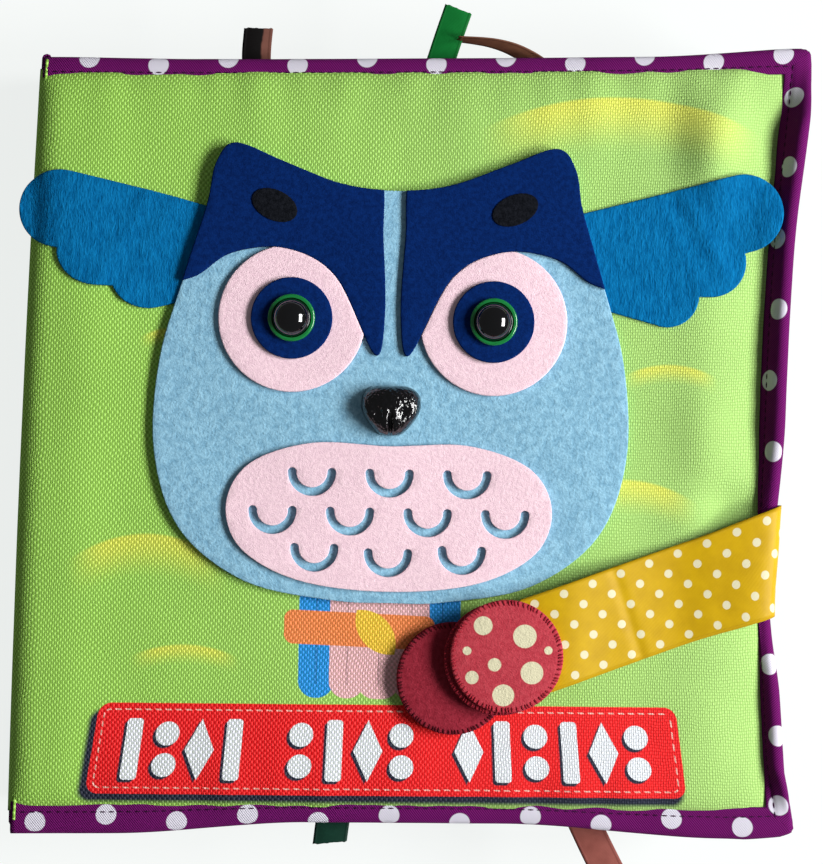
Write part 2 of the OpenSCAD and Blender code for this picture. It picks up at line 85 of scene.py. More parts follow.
def node_box(name: str) -> tuple[Vector, Vector]:
    """The lowest and highest corners of a solid of the frame, in millimetres."""
    low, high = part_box(name)
    return Vector(low) / MM, Vector(high) / MM


class Body(Enum):
    """The bodies of the book that move against each other."""

    FRONT = "front_cover"
    PAGES = "pages"
    BACK = "back_cover"


class Shades:
    """A node tree with short calls, where a number or a socket may feed any input."""

    def __init__(self, tree: bpy.types.NodeTree) -> None:
        """Start on an empty tree."""
        self.tree = tree

    def add(self, kind: str, inputs: dict | None = None, **settings: object) -> bpy.types.Node:
        """Add a node, set its settings and feed its inputs.

        Args:
            kind: Name of the node type.
            inputs: Input names or numbers, with the value or socket that feeds each.
            **settings: Properties of the node.

        Returns:
            The new node.
        """
        node = self.tree.nodes.new(kind)
        for name, value in settings.items():
            setattr(node, name, value)
        for name, value in (inputs or {}).items():
            self.feed(node.inputs[name], value)
        return node

    def feed(self, target: bpy.types.NodeSocket, value: object) -> None:
        """Link a socket to target, or set target to a plain value."""
        if isinstance(value, bpy.types.NodeSocket):
            self.tree.links.new(value, target)
        else:
            target.default_value = value

    def math(self, operation: str, a: object, b: object = 0.0, c: object = 0.0,
             clamp: bool = False) -> bpy.types.NodeSocket:
        """The result of one Math node."""
        node = self.add("ShaderNodeMath", {0: a, 1: b, 2: c}, operation=operation, use_clamp=clamp)
        return node.outputs[0]

    def mix(self, share: object, a: object, b: object, blend: str = "MIX") -> bpy.types.NodeSocket:
        """A colour between a and b."""
        node = self.add("ShaderNodeMix", {0: share, 6: a, 7: b}, data_type="RGBA", blend_type=blend)
        return node.outputs[2]

    def ramp(self, value: object, low: float, high: float, start: float = 0.0,
             end: float = 1.0) -> bpy.types.NodeSocket:
        """Value taken smoothly from start at low to end at high."""
        node = self.add("ShaderNodeMapRange", {"Value": value, "From Min": low, "From Max": high,
                                               "To Min": start, "To Max": end},
                        interpolation_type="SMOOTHSTEP", clamp=True)
        return node.outputs[0]

    def parts(self, vector: object) -> tuple[bpy.types.NodeSocket, ...]:
        """The three numbers of a vector."""
        return tuple(self.add("ShaderNodeSeparateXYZ", {0: vector}).outputs)

    def place_mm(self) -> bpy.types.NodeSocket:
        """Object coordinates in millimetres."""
        coords = self.add("ShaderNodeTexCoord").outputs["Object"]
        return self.add("ShaderNodeVectorMath", {0: coords, "Scale": 1 / MM}, operation="SCALE").outputs[0]

    def uv_mm(self) -> bpy.types.NodeSocket:
        """The piece's own UV map, which is laid out in millimetres."""
        return self.add("ShaderNodeUVMap", uv_map="UVMap").outputs[0]

    def noise(self, vector: object, size: float, detail: float = 3.0, rough: float = 0.55,
              twist: float = 0.0) -> bpy.types.NodeSocket:
        """Noise from 0 to 1 with features of about size, in the vector's own unit."""
        node = self.add("ShaderNodeTexNoise", {"Vector": vector, "Scale": 1 / size, "Detail": detail,
                                               "Roughness": rough, "Distortion": twist})
        return node.outputs["Fac"]

    def group(self, tree: bpy.types.NodeTree, inputs: dict) -> bpy.types.Node:
        """A node that uses a group, whose inputs are there once the tree is set."""
        return self.add("ShaderNodeGroup", inputs, node_tree=tree)


def new_group(name: str, inputs: dict[str, object], outputs: dict[str, str]) -> tuple[Shades, dict, bpy.types.Node]:
    """Start a shader group.

    Args:
        name: Name of the group.
        inputs: Input names with their default values; a None default makes a vector.
        outputs: Output names with their socket types.

    Returns:
        The group's shades, its input sockets by name, and its output node.
    """
    tree = bpy.data.node_groups.new(name, "ShaderNodeTree")
    for label, value in inputs.items():
        kind = "NodeSocketVector" if value is None else "NodeSocketFloat"
        kind = "NodeSocketColor" if isinstance(value, tuple) else kind
        socket = tree.interface.new_socket(label, in_out="INPUT", socket_type=kind)
        if value is not None:
            socket.default_value = value
    for label, kind in outputs.items():
        tree.interface.new_socket(label, in_out="OUTPUT", socket_type=kind)
    start = tree.nodes.new("NodeGroupInput")
    end = tree.nodes.new("NodeGroupOutput")
    return Shades(tree), {label: start.outputs[label] for label in inputs}, end


FLOAT = "NodeSocketFloat"
COLOUR = "NodeSocketColor"


def weave_group() -> bpy.types.NodeTree:
    """Plain canvas weave: knots of one thread over the other, in a checker."""
    shades, given, end = new_group("canvas_weave", {"Vector": None, "Pitch": 0.64},
                                   {"Knots": FLOAT, "Lumps": FLOAT, "Height": FLOAT})
    warped = shades.add("ShaderNodeTexNoise", {"Vector": given["Vector"], "Scale": 0.15, "Detail": 2.0})
    shift = shades.add("ShaderNodeVectorMath", {0: warped.outputs["Color"], 1: (0.5, 0.5, 0.5)},
                       operation="SUBTRACT").outputs[0]
    bent = shades.add("ShaderNodeVectorMath", {0: shift, 1: (1.6, 1.6, 0.0), 2: given["Vector"]},
                      operation="MULTIPLY_ADD").outputs[0]
    across, along, _ = shades.parts(bent)
    turn = shades.math("DIVIDE", math.pi, given["Pitch"])
    warp = shades.math("SINE", shades.math("MULTIPLY", across, turn))
    weft = shades.math("SINE", shades.math("MULTIPLY", along, shades.math("MULTIPLY", turn, 0.825)))
    cross = shades.math("MULTIPLY", warp, weft)
    shades.feed(end.inputs["Knots"], shades.ramp(cross, -0.75, 0.75))
    lump = shades.math("POWER", shades.math("ABSOLUTE", cross), 0.6)
    shades.feed(end.inputs["Lumps"], lump)
    raised = shades.ramp(cross, -0.4, 0.4, 0.55, 1.0)
    shades.feed(end.inputs["Height"], shades.math("MULTIPLY", lump, raised))
    return shades.tree


def felt_group() -> bpy.types.NodeTree:
    """Pressed felt: a fine grain of fibres, drawn out along Y by Length, with a soft mottle."""
    shades, given, end = new_group("felt_fibres", {"Vector": None, "Grain": 0.42, "Length": 1.0},
                                   {"Mottle": FLOAT, "Strands": FLOAT, "Height": FLOAT})
    x, y, z = shades.parts(given["Vector"])
    drawn = shades.add("ShaderNodeCombineXYZ", {0: x, 1: shades.math("DIVIDE", y, given["Length"]), 2: z}).outputs[0]
    fine = shades.math("DIVIDE", 1.0, given["Grain"])
    strands = shades.add("ShaderNodeTexNoise", {"Vector": drawn, "Scale": fine, "Detail": 3.0,
                                                "Roughness": 0.6}).outputs["Fac"]
    mottle = shades.add("ShaderNodeTexNoise", {"Vector": drawn, "Scale": shades.math("MULTIPLY", fine, 0.34),
                                               "Detail": 2.0, "Roughness": 0.5}).outputs["Fac"]
    shades.feed(end.inputs["Strands"], shades.ramp(strands, 0.3, 0.7))
    shades.feed(end.inputs["Mottle"], shades.ramp(mottle, 0.32, 0.68))
    shades.feed(end.inputs["Height"], shades.math("MULTIPLY_ADD", mottle, 0.8, strands))
    return shades.tree


def twill_group() -> bpy.types.NodeTree:
    """Fine diagonal ribs of a twill, broken into short threads."""
    shades, given, end = new_group("twill_ribs", {"Vector": None, "Pitch": 0.6},
                                   {"Ribs": FLOAT, "Height": FLOAT})
    across, along, _ = shades.parts(given["Vector"])
    turn = shades.math("DIVIDE", 2 * math.pi, given["Pitch"])
    slanted = shades.math("MULTIPLY", shades.math("ADD", across, shades.math("MULTIPLY", along, 0.8)), turn)
    ribs = shades.math("MULTIPLY_ADD", shades.math("SINE", slanted), 0.5, 0.5)
    steps = shades.math("MULTIPLY", shades.math("SUBTRACT", along, across), shades.math("MULTIPLY", turn, 0.9))
    threads = shades.math("MULTIPLY_ADD", shades.math("SINE", steps), 0.5, 0.5)
    height = shades.math("MULTIPLY_ADD", threads, 0.4, ribs)
    shades.feed(end.inputs["Ribs"], ribs)
    shades.feed(end.inputs["Height"], height)
    return shades.tree


class Groups:
    """The shader groups that several finishes share, each made once."""

    made: dict[str, bpy.types.NodeTree] = {}
    makers: dict[str, Callable[[], bpy.types.NodeTree]] = {
        "weave": weave_group, "felt": felt_group, "twill": twill_group,
    }

    @classmethod
    def get(cls, name: str) -> bpy.types.NodeTree:
        """The group of that name, made on its first use."""
        if name not in cls.made:
            cls.made[name] = cls.makers[name]()
        return cls.made[name]


def surface(name: str) -> tuple[bpy.types.Material, Shades, bpy.types.Node]:
    """Start a material.

    Args:
        name: Name of the material.

    Returns:
        The material, its shades, and its Principled BSDF node.
    """
    material = bpy.data.materials.new(name)
    material.use_nodes = True
    return material, Shades(material.node_tree), material.node_tree.nodes["Principled BSDF"]


def bump(shades: Shades, shader: bpy.types.Node, height: object, depth: float, strength: float = 1.0) -> None:
    """Feed a height into the shader's normal.

    Args:
        shades: Node tree of the material.
        shader: Its Principled BSDF.
        height: Socket with a height of about 0 to 1.
        depth: Millimetres that a height of 1 stands for.
        strength: Strength of the bump.
    """
    node = shades.add("ShaderNodeBump", {"Height": height, "Distance": depth * MM, "Strength": strength})
    shades.feed(shader.inputs["Normal"], node.outputs[0])


@dataclass(frozen=True)
class Felt:
    """Finish of a pressed felt."""

    name: str
    dark: Colour
    light: Colour
    depth: float = 0.3
    grain: float = 0.42
    drawn: float = 1.0

    def print_on(self, shades: Shades, place: object, cloth: bpy.types.NodeSocket) -> bpy.types.NodeSocket:
        """The felt's colour with its print, which plain felt doesn't have."""
        return cloth

    def make(self) -> bpy.types.Material:
        """The felt's material."""
        material, shades, shader = surface(self.name)
        place = shades.place_mm()
        fibres = shades.group(Groups.get("felt"), {"Vector": place, "Grain": self.grain, "Length": self.drawn})
        tone = shades.math("MULTIPLY_ADD", fibres.outputs["Strands"], 0.5,
                           shades.math("MULTIPLY", fibres.outputs["Mottle"], 0.5))
        cloth = shades.mix(tone, self.dark, self.light)
        shades.feed(shader.inputs["Base Color"], self.print_on(shades, place, cloth))
        shader.inputs["Roughness"].default_value = 0.95
        shader.inputs["Specular IOR Level"].default_value = 0.03
        bump(shades, shader, fibres.outputs["Height"], self.depth)
        return material


@dataclass(frozen=True)
class SpottedFelt(Felt):
    """Finish of a felt disc with pale spots of several sizes, given as (x, y, diameter) from its centre."""

    spot: Colour = srgb(208, 202, 170)
    centre: Point = (25.0, -54.6)
    spots: tuple[tuple[float, float, float], ...] = (
        (-6.2, 7.8, 4.8), (4.5, 5.3, 6.0), (-10.2, 1.3, 2.2), (-3.1, -2.1, 3.4),
        (6.5, -4.0, 5.8), (-8.8, -5.5, 3.4), (-0.7, -9.9, 5.6), (10.6, 1.8, 2.1))

    def print_on(self, shades: Shades, place: object, cloth: bpy.types.NodeSocket) -> bpy.types.NodeSocket:
        """The felt's colour with its spots."""
        x, y, _ = shades.parts(place)
        nearest = None
        for dx, dy, wide in self.spots:
            off_x = shades.math("SUBTRACT", x, self.centre[0] + dx)
            off_y = shades.math("SUBTRACT", y, self.centre[1] + dy)
            reach = shades.math("SQRT", shades.math("MULTIPLY_ADD", off_x, off_x,
                                                    shades.math("MULTIPLY", off_y, off_y)))
            edge = shades.math("SUBTRACT", reach, wide / 2)
            nearest = edge if nearest is None else shades.math("MINIMUM", nearest, edge)
        return shades.mix(shades.ramp(nearest, -0.12, 0.12, 1.0, 0.0), cloth, self.spot)


def dots_mask(shades: Shades, vector: object, first: Point, second: Point, radius: float,
              soft: float = 0.06, origin: Point = (0.0, 0.0)) -> bpy.types.NodeSocket:
    """Round dots on a slanted lattice.

    Args:
        shades: Node tree of the material.
        vector: Place on the cloth, in millimetres.
        first: Step from one dot to the next along a row.
        second: Step from one row to the next.
        radius: Radius of a dot.
        soft: Half the width of a dot's blurred edge.
        origin: Place of one of the dots.

    Returns:
        A mask that is 1 inside a dot.
    """
    x, y, _ = shades.parts(vector)
    x, y = shades.math("SUBTRACT", x, origin[0]), shades.math("SUBTRACT", y, origin[1])
    area = first[0] * second[1] - first[1] * second[0]
    along = shades.math("SUBTRACT", shades.math("MULTIPLY", x, second[1] / area),
                        shades.math("MULTIPLY", y, second[0] / area))
    rows = shades.math("SUBTRACT", shades.math("MULTIPLY", y, first[0] / area),
                       shades.math("MULTIPLY", x, first[1] / area))
    off_a = shades.math("SUBTRACT", along, shades.math("ROUND", along))
    off_b = shades.math("SUBTRACT", rows, shades.math("ROUND", rows))
    dx = shades.math("MULTIPLY_ADD", off_a, first[0], shades.math("MULTIPLY", off_b, second[0]))
    dy = shades.math("MULTIPLY_ADD", off_a, first[1], shades.math("MULTIPLY", off_b, second[1]))
    reach = shades.math("SQRT", shades.math("MULTIPLY_ADD", dx, dx, shades.math("MULTIPLY", dy, dy)))
    return shades.ramp(reach, radius - soft, radius + soft, 1.0, 0.0)


@dataclass(frozen=True)
class SpottedTape:
    """Finish of the purple binding tape: twill with pale dots, laid out along its UV map."""

    name: str = "purple_spotted_tape"
    purple: Colour = srgb(120, 20, 108)
    deep: Colour = srgb(58, 5, 56)
    dot: Colour = srgb(208, 204, 216)
    along: float = 18.2
    rows: float = 12.0
    radius: float = 2.65

    def make(self) -> bpy.types.Material:
        """The tape's material."""
        material, shades, shader = surface(self.name)
        place = shades.uv_mm()
        twill = shades.group(Groups.get("twill"), {"Vector": place, "Pitch": 0.62})
        step, row = (2 * self.along, 0.0), (0.0, self.rows)
        outer = dots_mask(shades, place, step, row, self.radius, 0.12, (12.0, 5.25))
        inner = dots_mask(shades, place, step, row, self.radius, 0.12, (12.0 + self.along, 3.35))
        dots = shades.math("MAXIMUM", outer, inner)
        cloth = shades.mix(twill.outputs["Ribs"], self.deep, self.purple)
        shades.feed(shader.inputs["Base Color"], shades.mix(dots, cloth, self.dot))
        shader.inputs["Roughness"].default_value = 0.8
        shader.inputs["Specular IOR Level"].default_value = 0.08
        bump(shades, shader, twill.outputs["Height"], 0.09)
        return material


@dataclass(frozen=True)
class PlainCloth:
    """Finish of an unprinted woven cloth."""

    name: str
    dark: Colour
    light: Colour
    pitch: float = 0.3

    def make(self) -> bpy.types.Material:
        """The cloth's material."""
        material, shades, shader = surface(self.name)
        place = shades.place_mm()
        weave = shades.group(Groups.get("weave"), {"Vector": place, "Pitch": self.pitch})
        tone = shades.math("MULTIPLY_ADD", weave.outputs["Knots"], 0.6,
                           shades.math("MULTIPLY", shades.noise(place, 14.0), 0.4))
        shades.feed(shader.inputs["Base Color"], shades.mix(tone, self.dark, self.light))
        shader.inputs["Roughness"].default_value = 0.85
        shader.inputs["Specular IOR Level"].default_value = 0.06
        bump(shades, shader, weave.outputs["Height"], 0.1)
        return material


@dataclass(frozen=True)
class SatinRibbon:
    """Finish of a satin ribbon, laid out along its UV map, with dots if it has any."""

    name: str
    low: Colour
    high: Colour
    width: float
    dot: Colour | None = None
    first: Point = (3.97, 4.13)
    second: Point = (-3.97, 4.13)
    origin: Point = (0.0, 2.065)
    radius: float = 1.08
    black_side: Colour | None = None
    rough: float = 0.42

    def make(self) -> bpy.types.Material:
        """The ribbon's material."""
        material, shades, shader = surface(self.name)
        place = shades.uv_mm()
        along, across, _ = shades.parts(place)
        ribs = shades.math("SINE", shades.math("MULTIPLY", along, 2 * math.pi / 0.34))
        cloud = shades.noise(place, 6.0, 3.0)
        edge = shades.math("ABSOLUTE", across)
        selvedge = shades.ramp(edge, self.width / 2 - 1.0, self.width / 2 - 0.6)
        tone = shades.math("MULTIPLY_ADD", ribs, 0.06, cloud)
        cloth = shades.mix(tone, self.low, self.high)
        cloth = shades.mix(shades.math("MULTIPLY", selvedge, 0.5), cloth, self.low)
        if self.dot is not None:
            dots = dots_mask(shades, place, self.first, self.second, self.radius, origin=self.origin)
            cloth = shades.mix(dots, cloth, self.dot)
        # The ribbon turns near black from one edge to a ragged line past its middle.
        if self.black_side is not None:
            cloth = shades.mix(shades.ramp(shades.math("MULTIPLY_ADD", cloud, 1.2, across), 1.6, 2.2, 1.0, 0.0),
                               cloth, self.black_side)
        shades.feed(shader.inputs["Base Color"], cloth)
        shades.feed(shader.inputs["Roughness"], shades.math("MULTIPLY_ADD", selvedge, 0.25, self.rough))
        shader.inputs["Specular IOR Level"].default_value = 0.13
        height = shades.math("MULTIPLY_ADD", selvedge, 0.9, shades.math("MULTIPLY", ribs, 0.15))
        bump(shades, shader, height, 0.06)
        return material


@dataclass(frozen=True)
class Plastic:
    """Finish of moulded plastic, smooth or pebbled."""

    name: str
    colour: Colour
    rough: float
    pebble: float = 0.0
    coat: float = 0.0

    def make(self) -> bpy.types.Material:
        """The plastic's material."""
        material, shades, shader = surface(self.name)
        place = shades.place_mm()
        cloud = shades.noise(place, 3.0)
        darker = tuple(0.8 * part for part in self.colour[:3]) + (1.0,)
        shades.feed(shader.inputs["Base Color"], shades.mix(cloud, darker, self.colour))
        shades.feed(shader.inputs["Roughness"], shades.math("MULTIPLY_ADD", cloud, 0.06, self.rough))
        shader.inputs["Coat Weight"].default_value = self.coat
        shader.inputs["Coat Roughness"].default_value = 0.04
        if self.pebble:
            cells = shades.add("ShaderNodeTexVoronoi", {"Vector": place, "Scale": 1 / 0.9, "Smoothness": 0.6},
                               feature="SMOOTH_F1")
            bump(shades, shader, shades.math("SUBTRACT", 1.0, cells.outputs["Distance"]), self.pebble)
        else:
            bump(shades, shader, cloud, 0.01)
        return material


@dataclass(frozen=True)
class Print:
    """The printed canvas of the covers: fields of colour on a green ground, painted paler towards the right."""

    name: str
    pictured: bool
    # The ground's two ends: the paler, less saturated right end is painted light from the lamps on the right.
    left: Colour = srgb(165, 217, 94)
    right: Colour = srgb(172, 213, 120)
    hill: Colour = srgb(240, 234, 88)
    red: Colour = srgb(250, 14, 24)
    navy: Colour = srgb(22, 30, 56)
    white: Colour = srgb(238, 240, 252)
    pink: Colour = srgb(244, 188, 196)
    blue: Colour = srgb(30, 150, 236)
    orange: Colour = srgb(252, 140, 78)
    gold: Colour = srgb(252, 204, 62)

    @staticmethod
    def block(shades: Shades, x: object, y: object, centre: Point, half: Point,
              radius: float) -> bpy.types.NodeSocket:
        """Distance to a rounded rectangle, which is negative inside it."""
        dx = shades.math("SUBTRACT", shades.math("ABSOLUTE", shades.math("SUBTRACT", x, centre[0])),
                         half[0] - radius)
        dy = shades.math("SUBTRACT", shades.math("ABSOLUTE", shades.math("SUBTRACT", y, centre[1])),
                         half[1] - radius)
        outer_x = shades.math("MAXIMUM", dx, 0.0)
        outer_y = shades.math("MAXIMUM", dy, 0.0)
        outside = shades.math("SQRT", shades.math("MULTIPLY_ADD", outer_x, outer_x,
                                                  shades.math("MULTIPLY", outer_y, outer_y)))
        inside = shades.math("MINIMUM", shades.math("MAXIMUM", dx, dy), 0.0)
        return shades.math("SUBTRACT", shades.math("ADD", outside, inside), radius)

    @staticmethod
    def inside(shades: Shades, distance: object, soft: float = 0.12) -> bpy.types.NodeSocket:
        """A mask that is 1 where a distance is negative."""
        return shades.ramp(distance, -soft, soft, 1.0, 0.0)

    def hills(self, shades: Shades, x: object, y: object, ground: object) -> bpy.types.NodeSocket:
        """Lay soft hills on the ground: a clear crest that fades downwards."""
        crests = ((52.0, 90.0, 38.0, 10.0), (-68.0, -25.5, 22.0, 8.0), (-58.0, -54.0, 15.0, 3.6),
                  (66.0, 21.0, 13.0, 3.6), (55.0, -9.0, 20.0, 6.5), (-62.0, 28.0, 10.0, 3.0))
        for cx, cy, wide, high in crests:
            off = shades.math("DIVIDE", shades.math("SUBTRACT", x, cx), wide)
            bow = shades.math("MULTIPLY_ADD", shades.math("MULTIPLY", off, off), -high, cy)
            below = shades.math("SUBTRACT", bow, y)
            crest = shades.ramp(below, -0.5, 0.5)
            fade = shades.ramp(below, 0.0, high * 1.5, 1.0, 0.0)
            ends = shades.ramp(shades.math("ABSOLUTE", off), 0.45, 1.0, 1.0, 0.0)
            mask = shades.math("MULTIPLY", crest, shades.math("MULTIPLY", fade, ends))
            ground = shades.mix(shades.math("MULTIPLY", mask, 0.75), ground, self.hill)
        return ground

    def tail_and_perch(self, shades: Shades, x: object, y: object, ground: object) -> bpy.types.NodeSocket:
        """Lay the printed tail feathers, the perch and its leaf under the owl."""
        feathers = ((-24.0, 4.6, self.blue), (8.5, 4.6, self.blue), (-16.0, 4.6, self.pink),
                    (0.5, 4.6, self.pink), (-7.8, 5.4, self.pink))
        for cx, half, colour in feathers:
            shape = self.block(shades, x, y, (cx, -52.0), (half, 15.0), 4.4)
            ground = shades.mix(self.inside(shades, shape), ground, colour)
            shaft = self.block(shades, x, y, (cx, -52.0), (0.22, 11.5), 0.2)
            ground = shades.mix(shades.math("MULTIPLY", self.inside(shades, shaft), 0.35), ground, self.navy)
        bough = self.block(shades, x, shades.math("MULTIPLY_ADD", x, 0.03, y), (-13.0, -49.6), (19.5, 4.4), 2.4)
        ground = shades.mix(self.inside(shades, bough), ground, self.orange)
        leaf = shades.math("MAXIMUM", self.block(shades, x, y, (-12.5, -53.0), (9.0, 9.0), 8.9),
                           self.block(shades, x, y, (-5.0, -46.5), (9.0, 9.0), 8.9))
        return shades.mix(self.inside(shades, leaf), ground, self.gold)

    def banner(self, shades: Shades, x: object, y: object, ground: object) -> bpy.types.NodeSocket:
        """Lay the red banner with its shadow, its pale dashes and its row of plain shapes."""
        lean = shades.math("MULTIPLY_ADD", x, -0.012, y)
        spread = shades.math("MULTIPLY_ADD", shades.math("ADD", lean, 81.0), 0.0020, 1.0)
        wide = shades.math("MULTIPLY", shades.math("ADD", x, 5.3), spread)
        shadow = self.block(shades, wide, lean, (-1.3, -82.2), (77.0, 12.2), 3.4)
        ground = shades.mix(self.inside(shades, shadow, 0.9), ground, self.navy)
        field_shape = self.block(shades, wide, lean, (0.0, -80.3), (76.3, 11.9), 3.2)
        ground = shades.mix(self.inside(shades, field_shape), ground, self.red)
        rim = shades.math("ABSOLUTE", shades.math("ADD", field_shape, 1.7))
        dashes = shades.math("SINE", shades.math("MULTIPLY", shades.math("ADD", x, lean), 2 * math.pi / 2.6))
        dashed = shades.math("MULTIPLY", self.inside(shades, shades.math("SUBTRACT", rim, 0.2), 0.08),
                             shades.ramp(dashes, -0.35, -0.1))
        ground = shades.mix(shades.math("MULTIPLY", dashed, 0.85), ground, srgb(250, 196, 186))
        for offset, colour, soft in (((-0.75, -0.75), self.navy, 0.25), ((0.0, 0.0), self.white, 0.1)):
            shapes = self.shapes(shades, wide, lean, offset)
            ground = shades.mix(self.inside(shades, shapes, soft), ground, colour)
        return ground

    def shapes(self, shades: Shades, x: object, y: object, offset: Point) -> bpy.types.NodeSocket:
        """Distance to a row of plain shapes in three groups: bars, lozenges, discs and drops."""
        pitch, first, middle = 7.8, -66.0, -80.4
        nearest = None
        kinds = "bdpb.dbpd.pbdbpd"
        for number, kind in enumerate(kinds):
            if kind == ".":
                continue
            cx, cy = first + pitch * number * 1.12 + offset[0], middle + offset[1]
            if kind == "b":
                shape = self.block(shades, x, y, (cx, cy), (2.1, 8.0), 1.0)
            elif kind == "d":
                upper = self.block(shades, x, y, (cx, cy + 4.1), (3.1, 3.1), 3.05)
                lower = self.block(shades, x, y, (cx, cy - 4.1), (3.1, 3.1), 3.05)
                shape = shades.math("MINIMUM", upper, lower)
            else:
                dx = shades.math("ABSOLUTE", shades.math("SUBTRACT", x, cx))
                dy = shades.math("ABSOLUTE", shades.math("SUBTRACT", y, cy))
                shape = shades.math("SUBTRACT", shades.math("MULTIPLY_ADD", dx, 2.1, dy), 8.0)
                shape = shades.math("MULTIPLY", shape, 0.42)
            nearest = shape if nearest is None else shades.math("MINIMUM", nearest, shape)
        return nearest

    def make(self) -> bpy.types.Material:
        """The printed canvas, with painted shade and highlight in its weave and a ground painted paler towards the
        right.
        """
        material, shades, shader = surface(self.name)
        place = shades.place_mm()
        x, y, _ = shades.parts(place)
        # Painted light: the ground grows paler from left to right, as if lit from the right.
        side = shades.ramp(x, -100.0, 100.0)
        ground = shades.mix(side, self.left, self.right)
        if self.pictured:
            ground = self.hills(shades, x, y, ground)
            ground = self.tail_and_perch(shades, x, y, ground)
            ground = self.banner(shades, x, y, ground)
        weave = shades.group(Groups.get("weave"), {"Vector": shades.uv_mm(), "Pitch": 0.635})
        # Painted shade and highlight: the knots are shaded deeper on the left, where the light grazes, and light adds a
        # faint whitish painted highlight.
        depth = shades.mix(side, (0.53, 0.57, 0.46, 1.0), (0.62, 0.66, 0.57, 1.0))
        dark = shades.mix(1.0, ground, depth, "MULTIPLY")
        light = shades.mix(0.04, ground, (1.0, 1.0, 0.9, 1.0))
        knots, lumps = weave.outputs["Knots"], weave.outputs["Lumps"]
        # Painted shade: the sharp knot pattern fades into soft lumps towards the right, where the light falls more
        # squarely.
        plain = shades.math("MULTIPLY", shades.ramp(x, -20.0, 75.0), 0.8)
        tone = shades.math("MULTIPLY_ADD", shades.math("SUBTRACT", lumps, knots), plain, knots)
        shades.feed(shader.inputs["Base Color"], shades.mix(tone, dark, light))
        shader.inputs["Roughness"].default_value = 0.8
        shader.inputs["Specular IOR Level"].default_value = 0.06
        bump(shades, shader, weave.outputs["Height"], 0.14)
        return material


class Palette:
    """Every finish of the book, made once and asked for by name."""

    def __init__(self) -> None:
        """Write down the finishes."""
        self.finishes = {
            "front_print": Print("front_canvas", True),
            "back_print": Print("back_canvas", False),
            "lining": PlainCloth("lining_canvas", srgb(206, 202, 176), srgb(240, 238, 218)),
            "leaf": PlainCloth("leaf_canvas", srgb(214, 210, 196), srgb(246, 244, 234)),
            "tape": SpottedTape(),
            "blue": Felt("light_blue_felt", srgb(110, 156, 182), srgb(148, 194, 216), 0.22, 0.62),
            "navy": Felt("navy_felt", srgb(4, 26, 74), srgb(8, 40, 100), 0.1),
            "pink": Felt("pink_felt", srgb(224, 190, 202), srgb(242, 212, 220), 0.15, 0.3),
            "teal": Felt("teal_felt", srgb(2, 86, 138), srgb(12, 114, 170), 0.3, 0.45, 3.0),
            "black": Felt("black_felt", srgb(8, 10, 14), srgb(26, 28, 34), 0.15),
            "spotted_red": SpottedFelt("spotted_red_felt", srgb(166, 50, 62), srgb(186, 70, 80), 0.2),
            # Partly painted shade: this felt is made darker to stand for the shadow over the discs under the strap
            # disc.
            "dark_red": Felt("dark_red_felt", srgb(124, 30, 43), srgb(150, 46, 60), 0.2),
            "hook": Felt("hook_tape", srgb(120, 120, 120), srgb(170, 170, 170), 0.5),
            "strap": SatinRibbon("yellow_satin", srgb(164, 128, 4), srgb(202, 164, 10), 25.0,
                                 srgb(206, 200, 166)),
            "brown": SatinRibbon("brown_satin", srgb(104, 52, 46), srgb(156, 92, 82), 8.6),
            "bronze": SatinRibbon("bronze_satin", srgb(84, 52, 40), srgb(160, 108, 82), 5.2),
            "green": SatinRibbon("green_satin", srgb(4, 84, 30), srgb(20, 120, 52), 7.5),
            # Partly painted shade: the foot tab lies in shadow, and this satin is darkened to stand for it.
            "dark_green": SatinRibbon("dark_green_satin", srgb(10, 34, 26), srgb(24, 62, 48), 9.0),
            # The head brown tab: brown satin with one side near black.
            "black_sided_brown": SatinRibbon("burnt_brown_satin", srgb(84, 50, 42), srgb(128, 84, 72), 7.6,
                                   black_side=srgb(14, 12, 12), rough=0.55),
            "thread": PlainCloth("purple_thread", srgb(34, 8, 34), srgb(70, 22, 66), 0.4),
            "red_thread": PlainCloth("red_thread", srgb(120, 26, 38), srgb(168, 46, 58), 0.4),
            "dark_thread": PlainCloth("dark_thread", srgb(56, 10, 18), srgb(92, 20, 30), 0.4),
            "dome": Plastic("black_dome", srgb(6, 6, 8), 0.06, coat=1.0),
            "rim": Plastic("green_rim", srgb(16, 118, 54), 0.22, coat=0.5),
            "beak": Plastic("black_beak", srgb(6, 6, 8), 0.14, 0.34, 0.6),
            "washer": Plastic("white_washer", srgb(236, 236, 234), 0.4),
        }
        self.made: dict[str, bpy.types.Material] = {}

    def get(self, name: str) -> bpy.types.Material:
        """The material of a finish."""
        if name not in self.made:
            self.made[name] = self.finishes[name].make()
        return self.made[name]


PALETTE = Palette()


def finish_piece(bm: bmesh.types.BMesh, name: str, body: Body, slot: str, finishes: Sequence[str],
                 replaces: Sequence[str] = (), recalc: bool = True) -> bpy.types.Object:
    """Make an object of a mesh drawn in millimetres, dress it and set it on its body.

    Args:
        bm: The mesh, which is freed.
        name: Name of the piece.
        body: Body that the piece moves with.
        slot: Material slot of the record that the finish belongs to; not used.
        finishes: Palette names, in the order of the mesh's material numbers.
        replaces: Solids of the frame that the piece stands for.
        recalc: Whether normals are turned outwards first.

    Returns:
        The new object.
    """
    if recalc:
        bmesh.ops.recalc_face_normals(bm, faces=bm.faces)
    bmesh.ops.scale(bm, vec=(MM, MM, MM), verts=bm.verts)
    mesh = bpy.data.meshes.new(name)
    bm.to_mesh(mesh)
    bm.free()
    for polygon in mesh.polygons:
        polygon.use_smooth = True
    piece = bpy.data.objects.new(name, mesh)
    bpy.context.scene.collection.objects.link(piece)
    for finish in finishes:
        mesh.materials.append(PALETTE.get(finish))
    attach(piece, body.value)
    if replaces:
        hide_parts(*replaces)
    log.info("%s: %d faces on %s", name, len(mesh.polygons), body.value)
    return piece


